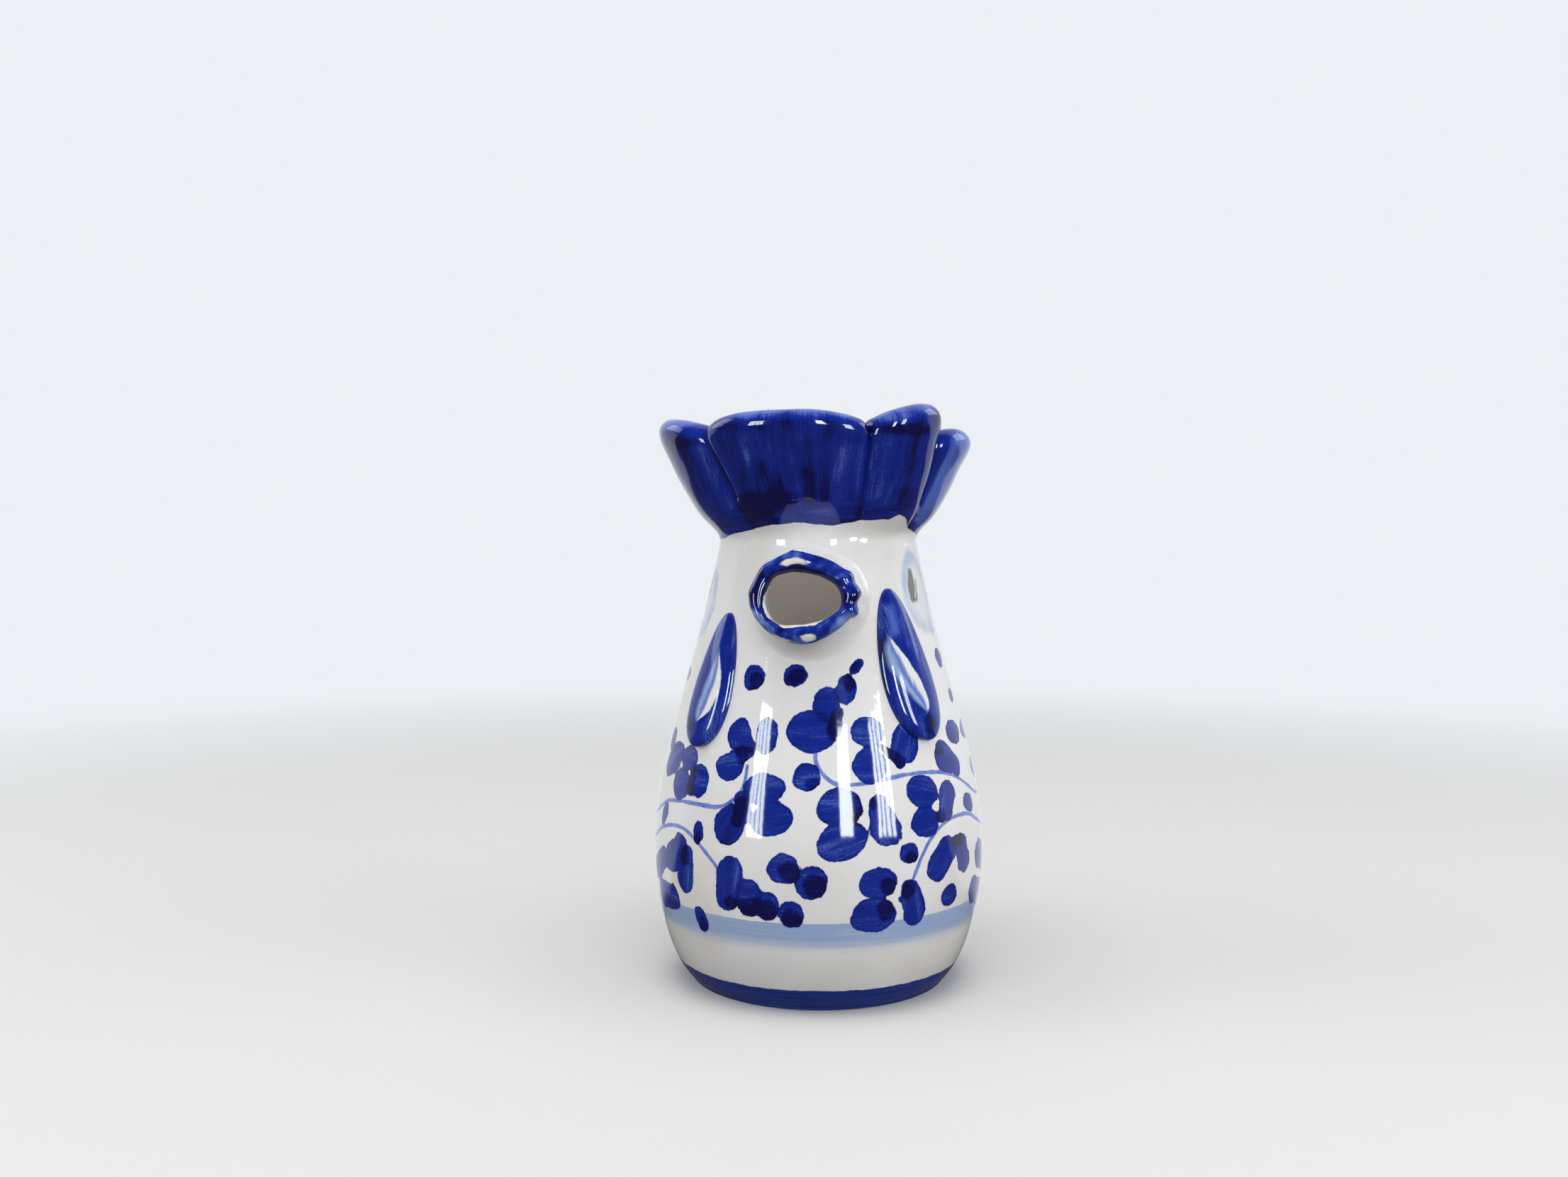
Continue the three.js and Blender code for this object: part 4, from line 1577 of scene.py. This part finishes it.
# The lip's roll, as shares of its thickness: its spread, and the depth and the spread of the dent below it
ROLL_SPREAD = 0.45
DENT_DEPTH = 1.05
DENT_SPREAD = 0.5

# Depth and size of the pressed clay, and the heights above the root between which it begins
LOBE_PRESS = (0.5 * MM, 11 * MM)
LOBE_PRESS_FADES = (1 * MM, 9 * MM)


def crease_turn(index, share):
    """Turn of a crease at a share of the comb's rise, counted on past a full turn."""
    root, top = CREASES[index % len(CREASES)]
    return np.radians(root + (top - root) * share + 360 * (index // len(CREASES)))


def in_section(radius, height):
    """Places in a section, as a radius and a height."""
    return np.stack(np.broadcast_arrays(radius, height), axis=-1)


def lobe_section(above, tilt, first_fall, second_fall, across, skin):
    """Places on a lobe's skin and in its core, where across runs from -1 to 1 between its creases."""
    body, comb = settings().body, settings().comb
    dip = np.minimum(np.abs(across), 1) ** comb.roundness
    rim = comb.radius - (comb.crease + np.where(across < 0, first_fall, second_fall) * MM) * dip
    foot = body.neck_height
    bead = comb.lip / 2
    lip_height = foot + comb.rise + (above + tilt * across) * MM - comb.drop * dip - bead
    climb = np.clip(skin / LOBE_OUTSIDE, 0, 1)[:, None]
    fall = 1 - np.clip((skin - LOBE_LIP) / (LOBE_INSIDE - LOBE_LIP), 0, 1)[:, None]
    root = np.full(len(across), body.neck_radius)
    outer_corners = [
        in_section(root, foot),
        in_section(rim, foot + comb.knee),
        in_section(rim, lip_height),
    ]
    inner_corners = [
        in_section(root - body.wall, foot),
        in_section(rim - comb.lip, foot + comb.lip_knee),
        in_section(rim - comb.lip, lip_height),
    ]
    outside = bezier(outer_corners, climb)
    up = outside[:, 1] - foot
    outside[:, 0] -= ROOT_HOLLOW * up * np.exp(-(up / comb.fillet) ** 2)
    past_lip = (outside[:, 1] - lip_height) / comb.lip
    roll = np.exp(-(past_lip / ROLL_SPREAD) ** 2)
    dent = np.exp(-((past_lip + DENT_DEPTH) / DENT_SPREAD) ** 2)
    outside[:, 0] += comb.roll * (roll - dent)
    inside = bezier(inner_corners, fall)
    turn = np.pi * np.clip((skin - LOBE_OUTSIDE) / (LOBE_LIP - LOBE_OUTSIDE), 0, 1)
    lip_middle = in_section(rim - bead + comb.roll / 2, lip_height)
    lip = lip_middle + in_section((bead + comb.roll / 2) * np.cos(turn), bead * np.sin(turn))
    under = np.clip((skin - LOBE_INSIDE) / (1 - LOBE_INSIDE), 0, 1)
    root_row = in_section(root - body.wall * (1 - under), foot)
    on_outside, before_inside, before_root = (
        (skin <= end)[:, None] for end in (LOBE_OUTSIDE, LOBE_LIP, LOBE_INSIDE)
    )
    places = np.select([on_outside, before_inside, before_root], [outside, lip, inside], root_row)
    level = np.select([on_outside, before_inside], [climb, 1.0], fall)
    core = (bezier(outer_corners, level) + bezier(inner_corners, level)) / 2
    return places, core


class JUG_OT_comb(Operator):
    """Shape the six lobes of the comb and lay the cobalt on them"""

    bl_idname = "jug.comb"
    bl_label = "Comb"

    def execute(self, context):
        material = comb_glaze()
        for index, (name, *shape) in enumerate(LOBES):
            self.lobe(index, name, shape, material)
        return {"FINISHED"}

    def lobe(self, index, name, shape, material):
        """Shapes, paints and glazes one lobe."""
        body, comb = settings().body, settings().comb
        half_turn = (crease_turn(index + 1, 1.0) - crease_turn(index, 1.0)) / 2
        reach = 1 + comb.overlap / (half_turn * comb.radius)
        rounding = comb.edge_round / (half_turn * comb.radius)

        def place(skin, row):
            across = -reach * np.cos(np.pi * row)
            places, core = lobe_section(*shape, np.clip(across, -1, 1), skin)
            beyond = np.clip((np.abs(across) - reach + rounding) / rounding, 0, 1)
            beyond *= ease((core[:, 1] - body.neck_height) / comb.rise, *CREASE_FADES)
            places = core + (places - core) * np.sqrt(1 - beyond ** 2)[:, None]
            share = (places[:, 1] - body.neck_height) / comb.rise
            first = crease_turn(index, share)
            second = crease_turn(index + 1, share)
            turns = first + (second - first) * (across + 1) / 2
            points = around(turns, places[:, 0], places[:, 1])
            points[:, 0] += comb.lean * share
            return points, across, skin > (LOBE_OUTSIDE + LOBE_LIP) / 2

        piece, across, inside = shaped_sheet(f"jug_comb_lobe_{name}", *LOBE_GRID, place, fill=True)
        paint_comb(piece, across, inside)
        above_root = points_of(piece)[:, 2] - body.neck_height
        press_by_hand(piece, *LOBE_PRESS, ease(above_root, *LOBE_PRESS_FADES))
        glaze(piece, f"comb_lobe_{name}", material)


# Segments and rings of the ball that a wattle is pressed from
WATTLE_SEGMENTS = 128
WATTLE_RINGS = 96

# A wattle's crown: how flat its top is and how round its edge
CROWN_FLATNESS = 3.2
CROWN_EDGE = 0.65

# How deep a wattle's back and its outline are sunk into the wall
BACK_SINK = 1.1 * MM
OUTLINE_SINK = 0.15 * MM


class JUG_OT_wattles(Operator):
    """Shape the two raised wattles and paint their leaves"""

    bl_idname = "jug.wattles"
    bl_label = "Wattles"

    def execute(self, context):
        material = wattle_glaze()
        for side in ("right", "left"):
            self.wattle(side, material)
        return {"FINISHED"}

    def wattle(self, side, material):
        """Shapes, paints and glazes one wattle."""
        drop, long, width, tip, end = wattle_sizes(side)
        deselect_all()
        bpy.ops.mesh.primitive_uv_sphere_add(
            segments=WATTLE_SEGMENTS, ring_count=WATTLE_RINGS, radius=1.0
        )
        piece = new_piece(f"jug_wattle_{side}")
        ball = points_of(piece)
        share = (1 - ball[:, 1]) / 2
        rim = np.sqrt(np.clip(1 - ball[:, 1] ** 2, 1e-9, None))
        across = ball[:, 0] / rim
        height = settings().body.neck_height - drop - long * share
        bulge = (1 - np.abs(across) ** CROWN_FLATNESS) ** CROWN_EDGE
        crown = settings().wattles.relief * np.sqrt(drop_width(share)) * bulge
        on_back = ball[:, 2] < 0
        radius = body_radius(height)
        turn = tip + (end - tip) * share + width / 2 * drop_width(share) * across / radius
        lifted = radius - np.where(on_back, BACK_SINK, OUTLINE_SINK) + np.where(on_back, 0, crown)
        place_points(piece, around(turn, lifted, height))
        close_up(piece)
        paint_wattle(piece, side)
        glaze(piece, f"wattle_{side}", material)


# Corners round the strap and along it, and points along its path
HANDLE_GRID = (56, 150)
PATH_STEPS = 600

# How far from its roots the strap's clay spreads, and how deep its ends lie in the wall at most
SPREAD_REACH = 6 * MM
END_SINK = 1.5 * MM

# The strap's back, which is painted, is where the sine of the turn round it is above this
BACK_BEGINS = -0.35

# Depth and size of the pressed clay
HANDLE_PRESS = (0.4 * MM, 16 * MM)


def handle_path():
    """Places and directions along the strap, as distances from the axis and heights, and the run to each."""
    body, handle = settings().body, settings().handle
    top = body.neck_height - handle.drop
    top_radius = body_radius(top)
    end_radius = body_radius(handle.end_height)
    corners = [
        (top_radius - body.wall / 2, top),
        (top_radius + handle.top_pull, top + handle.top_lift),
        (end_radius + handle.end_pull, handle.end_height - handle.end_sag),
        (end_radius - body.wall / 2, handle.end_height),
    ]
    path = bezier(corners, np.linspace(0, 1, PATH_STEPS)[:, None])
    run = np.concatenate([[0], np.cumsum(np.linalg.norm(np.diff(path, axis=0), axis=1))])
    tangents = np.gradient(path, axis=0)
    tangents /= np.linalg.norm(tangents, axis=1)[:, None]
    return path, tangents, run


class JUG_OT_handle(Operator):
    """Bend the loop handle behind and paint its strokes"""

    bl_idname = "jug.handle"
    bl_label = "Handle"

    def execute(self, context):
        body, handle = settings().body, settings().handle
        path, tangents, run = handle_path()

        def along_path(rows, share):
            return np.stack([np.interp(share * run[-1], run, rows[:, axis]) for axis in (0, 1)], axis=-1)

        def place(around_strap, share):
            centre = along_path(path, share)
            tangent = along_path(tangents, share)
            to_root = np.minimum(share, 1 - share) * run[-1]
            flare = handle.flare * (2 * share - 1) ** 4
            spread = 1 + flare + handle.fillet * np.exp(-(to_root / SPREAD_REACH) ** 2)
            turn = around_strap * FULL_TURN
            across = handle.width / 2 * spread * np.cos(turn)
            outwards = handle.thickness / 2 * spread * np.sin(turn)
            points = np.stack([
                across, centre[:, 0] - outwards * tangent[:, 1], centre[:, 1] + outwards * tangent[:, 0],
            ], axis=-1)
            reach = np.hypot(points[:, 0], points[:, 1])
            least = body_radius(np.clip(points[:, 2], 0, body.neck_height)) - END_SINK
            points[:, :2] *= (np.maximum(reach, least) / reach)[:, None]
            return points, share, across / MM, np.sin(turn) > BACK_BEGINS

        piece, share, across, outside = shaped_sheet("jug_handle", *HANDLE_GRID, place, fill=True)
        paint_handle(piece, share, run[-1] / MM, across, outside)
        press_by_hand(piece, *HANDLE_PRESS)
        glaze(piece, "handle", handle_glaze())
        return {"FINISHED"}


# Stage


# Windows that only show in the gloss: a turn from the beak, a width, a lower and an upper edge in metres,
# and a strength in watts
WINDOWS = [
    (-43.4, 0.046, 0.02, 0.612, 1.5),
    (-40.9, 0.05, 0.02, 0.612, 1.65),
    (-37.9, 0.054, 0.02, 0.612, 1.8),
    (-34.9, 0.056, 0.02, 0.612, 1.85),
    (23.2, 0.19, 0.055, 0.632, 7.4),
    (46.4, 0.052, 0.02, 0.59, 1.9),
    (49.6, 0.052, 0.02, 0.59, 1.9),
    (52.9, 0.058, 0.02, 0.59, 2.05),
    (56.4, 0.058, 0.02, 0.59, 2.05),
    (117, 0.8, 0.5, 1.3, 4.4),
    (-104, 0.8, 0.5, 1.3, 3.8),
]

# Daylight as it shows in the gloss
WINDOW_TINT = (0.91, 1.0, 0.96)

# Lamps that only light the jug and don't show in the gloss, given in the same way
LAMPS = [
    (83, 0.85, 0.5, 1.3, 4.4),
    (-81, 0.85, 0.5, 1.3, 5.6),
    (60, 0.8, 0.05, 0.5, 4.2),
    (-58, 0.8, 0.05, 0.5, 2.7),
    (20, 0.7, 0.05, 0.4, 2.4),
]

# Soft light from above, which doesn't show in the gloss either: a name, a spot, an aim, a width and a height
# in metres, and a strength in watts
SOFT_LIGHTS = [
    ("softbox", (0, -1.0, 1.15), (0, 0, 0.08), 1.6, 1.4, 5.0),
    ("overhead", (0, -0.1, 1.4), (0, 0, 0), 1.0, 1.0, 7.6),
]


# Width of the camera's picture in millimetres
SENSOR_WIDTH = 36


def add_camera(stage):
    """The camera at the photograph's place and angle."""
    spot = Vector(around(stage.camera_side, stage.camera_distance, stage.camera_height))
    heading = stage.camera_side + stage.camera_turn
    level = math.cos(stage.camera_pitch)
    looks = Vector((-level * math.sin(heading), level * math.cos(heading), math.sin(stage.camera_pitch)))
    bpy.ops.object.camera_add(location=spot, rotation=looks.to_track_quat("-Z", "Y").to_euler())
    camera = bpy.context.object
    camera.name = "camera"
    camera.data.sensor_width = SENSOR_WIDTH
    camera.data.lens = stage.lens / MM
    camera.data.clip_start = 0.01
    bpy.context.scene.camera = camera


def add_light(name, spot, aim, width, height, watts):
    """A flat light at a spot, aimed at a place; sizes in metres and strength in watts."""
    facing = (Vector(aim) - Vector(spot)).to_track_quat("-Z", "Y").to_euler()
    bpy.ops.object.light_add(type="AREA", location=spot, rotation=facing)
    light = bpy.context.object
    light.name = name
    light.data.shape = "RECTANGLE"
    light.data.size = width
    light.data.size_y = height
    light.data.energy = watts
    return light


def add_upright_light(name, stage, turn, width, low, high, watts):
    """A light that stands round the jug and faces its axis."""
    middle = (low + high) / 2
    spot = around(math.radians(turn), stage.light_distance, middle)
    return add_light(f"{name}_{turn}", spot, (0, 0, middle), width, high - low, watts)


# What the gloss mirrors, by how far a ray runs along Y or Z: where the room turns from dim to pale, where the
# table's edge lies, and how far and where that edge sinks behind the jug
PALE_SIDE = (0.0, 0.3)
TABLE_EDGE = (-0.04, 0.02)
TABLE_SINK = 0.3
TABLE_SINK_SIDE = (0.0, 0.6)


def add_world(stage):
    """Pale all round for the camera; in the gloss, pale behind the jug, dim in front and a table below."""
    world = bpy.data.worlds.new("studio")
    world.use_nodes = True
    world.node_tree.nodes.clear()
    bpy.context.scene.world = world
    wiring = Wiring(world.node_tree)
    way = wiring.add("ShaderNodeTexCoord").outputs["Generated"]
    parts = wiring.add("ShaderNodeSeparateXYZ", {0: way}).outputs
    rays = wiring.add("ShaderNodeLightPath").outputs
    mirrored = wiring.mix(wiring.step(parts["Y"], *PALE_SIDE), stage.gloom, stage.backdrop)
    sunk = wiring.times(wiring.step(parts["Y"], *TABLE_SINK_SIDE), TABLE_SINK)
    above = wiring.step(wiring.plus(parts["Z"], sunk), *TABLE_EDGE)
    mirrored = wiring.mix(above, stage.table, mirrored)
    surroundings = wiring.mix(rays["Is Glossy Ray"], stage.room, mirrored)
    seen = wiring.mix(rays["Is Camera Ray"], surroundings, stage.backdrop)
    sky = wiring.add("ShaderNodeBackground", {"Color": seen, "Strength": 1.0})
    wiring.join(wiring.add("ShaderNodeOutputWorld").inputs["Surface"], sky.outputs[0])


# Radius of the floor, and distances from the jug between which it fades into the backdrop, in metres
FLOOR_RADIUS = 6.0
FLOOR_FADES = (0.32, 0.85)


def add_floor(stage):
    """A plain pale floor that keeps the jug's shadow and fades into the backdrop."""
    bpy.ops.mesh.primitive_circle_add(vertices=96, radius=FLOOR_RADIUS, fill_type="NGON")
    floor = new_piece("floor")
    material = bpy.data.materials.new("floor")
    material.use_nodes = True
    material.node_tree.nodes.clear()
    wiring = Wiring(material.node_tree)
    seen = wiring.add("ShaderNodeLightPath").outputs["Is Camera Ray"]
    tone = wiring.mix(seen, stage.table, stage.floor)
    shader = wiring.add("ShaderNodeBsdfPrincipled", {"Base Color": tone, "Roughness": 0.7})
    backdrop = wiring.add("ShaderNodeEmission", {"Color": stage.backdrop, "Strength": 1.0})
    place = wiring.add("ShaderNodeTexCoord").outputs["Object"]
    away = wiring.add("ShaderNodeVectorMath", {0: place}, operation="LENGTH").outputs["Value"]
    fade = wiring.times(wiring.step(away, *FLOOR_FADES), seen)
    mixed = wiring.add("ShaderNodeMixShader", {0: fade, 1: shader.outputs[0], 2: backdrop.outputs[0]})
    wiring.join(wiring.add("ShaderNodeOutputMaterial").inputs["Surface"], mixed.outputs[0])
    floor.data.materials.append(material)
    floor.visible_glossy = False


class JUG_OT_stage(Operator):
    """Set the camera, the window lights, the pale surroundings and the floor"""

    bl_idname = "jug.stage"
    bl_label = "Stage"

    def execute(self, context):
        stage = settings().stage
        context.scene.view_settings.view_transform = "Standard"
        deselect_all()
        add_camera(stage)
        for place in WINDOWS:
            window = add_upright_light("window", stage, *place)
            window.data.color = WINDOW_TINT
            window.visible_diffuse = False
        for lamp in LAMPS:
            add_upright_light("lamp", stage, *lamp).visible_glossy = False
        for light in SOFT_LIGHTS:
            add_light(*light).visible_glossy = False
        add_world(stage)
        add_floor(stage)
        return {"FINISHED"}


STEPS = (
    JUG_OT_stage,
    JUG_OT_base_slab,
    JUG_OT_body_wall,
    JUG_OT_beak_spout,
    JUG_OT_comb,
    JUG_OT_wattles,
    JUG_OT_handle,
)
GROUPS = (JugBody, JugComb, JugBeak, JugWattles, JugHandle, JugPaint, JugStage, MilkJug)


class JUG_PT_sidebar(Panel):
    """Steps and sizes of the milk jug"""

    bl_idname = "JUG_PT_sidebar"
    bl_label = "Milk Jug"
    bl_space_type = "VIEW_3D"
    bl_region_type = "UI"
    bl_category = "Milk Jug"

    def draw(self, context):
        for step in STEPS:
            self.layout.operator(step.bl_idname)
        for name in MilkJug.__annotations__:
            box = self.layout.box()
            box.label(text=name.title())
            group = getattr(context.scene.milk_jug, name)
            for setting in group.__annotations__:
                box.prop(group, setting)


def register():
    for kind in (*GROUPS, *STEPS, JUG_PT_sidebar):
        bpy.utils.register_class(kind)
    bpy.types.Scene.milk_jug = PointerProperty(type=MilkJug)


def unregister():
    del bpy.types.Scene.milk_jug
    for kind in reversed((*GROUPS, *STEPS, JUG_PT_sidebar)):
        bpy.utils.unregister_class(kind)


def main():
    """Registers the add-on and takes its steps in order."""
    register()
    bpy.ops.jug.stage()
    bpy.ops.jug.base_slab()
    bpy.ops.jug.body_wall()
    bpy.ops.jug.beak_spout()
    bpy.ops.jug.comb()
    bpy.ops.jug.wattles()
    bpy.ops.jug.handle()


if __name__ == "__main__":
    main()
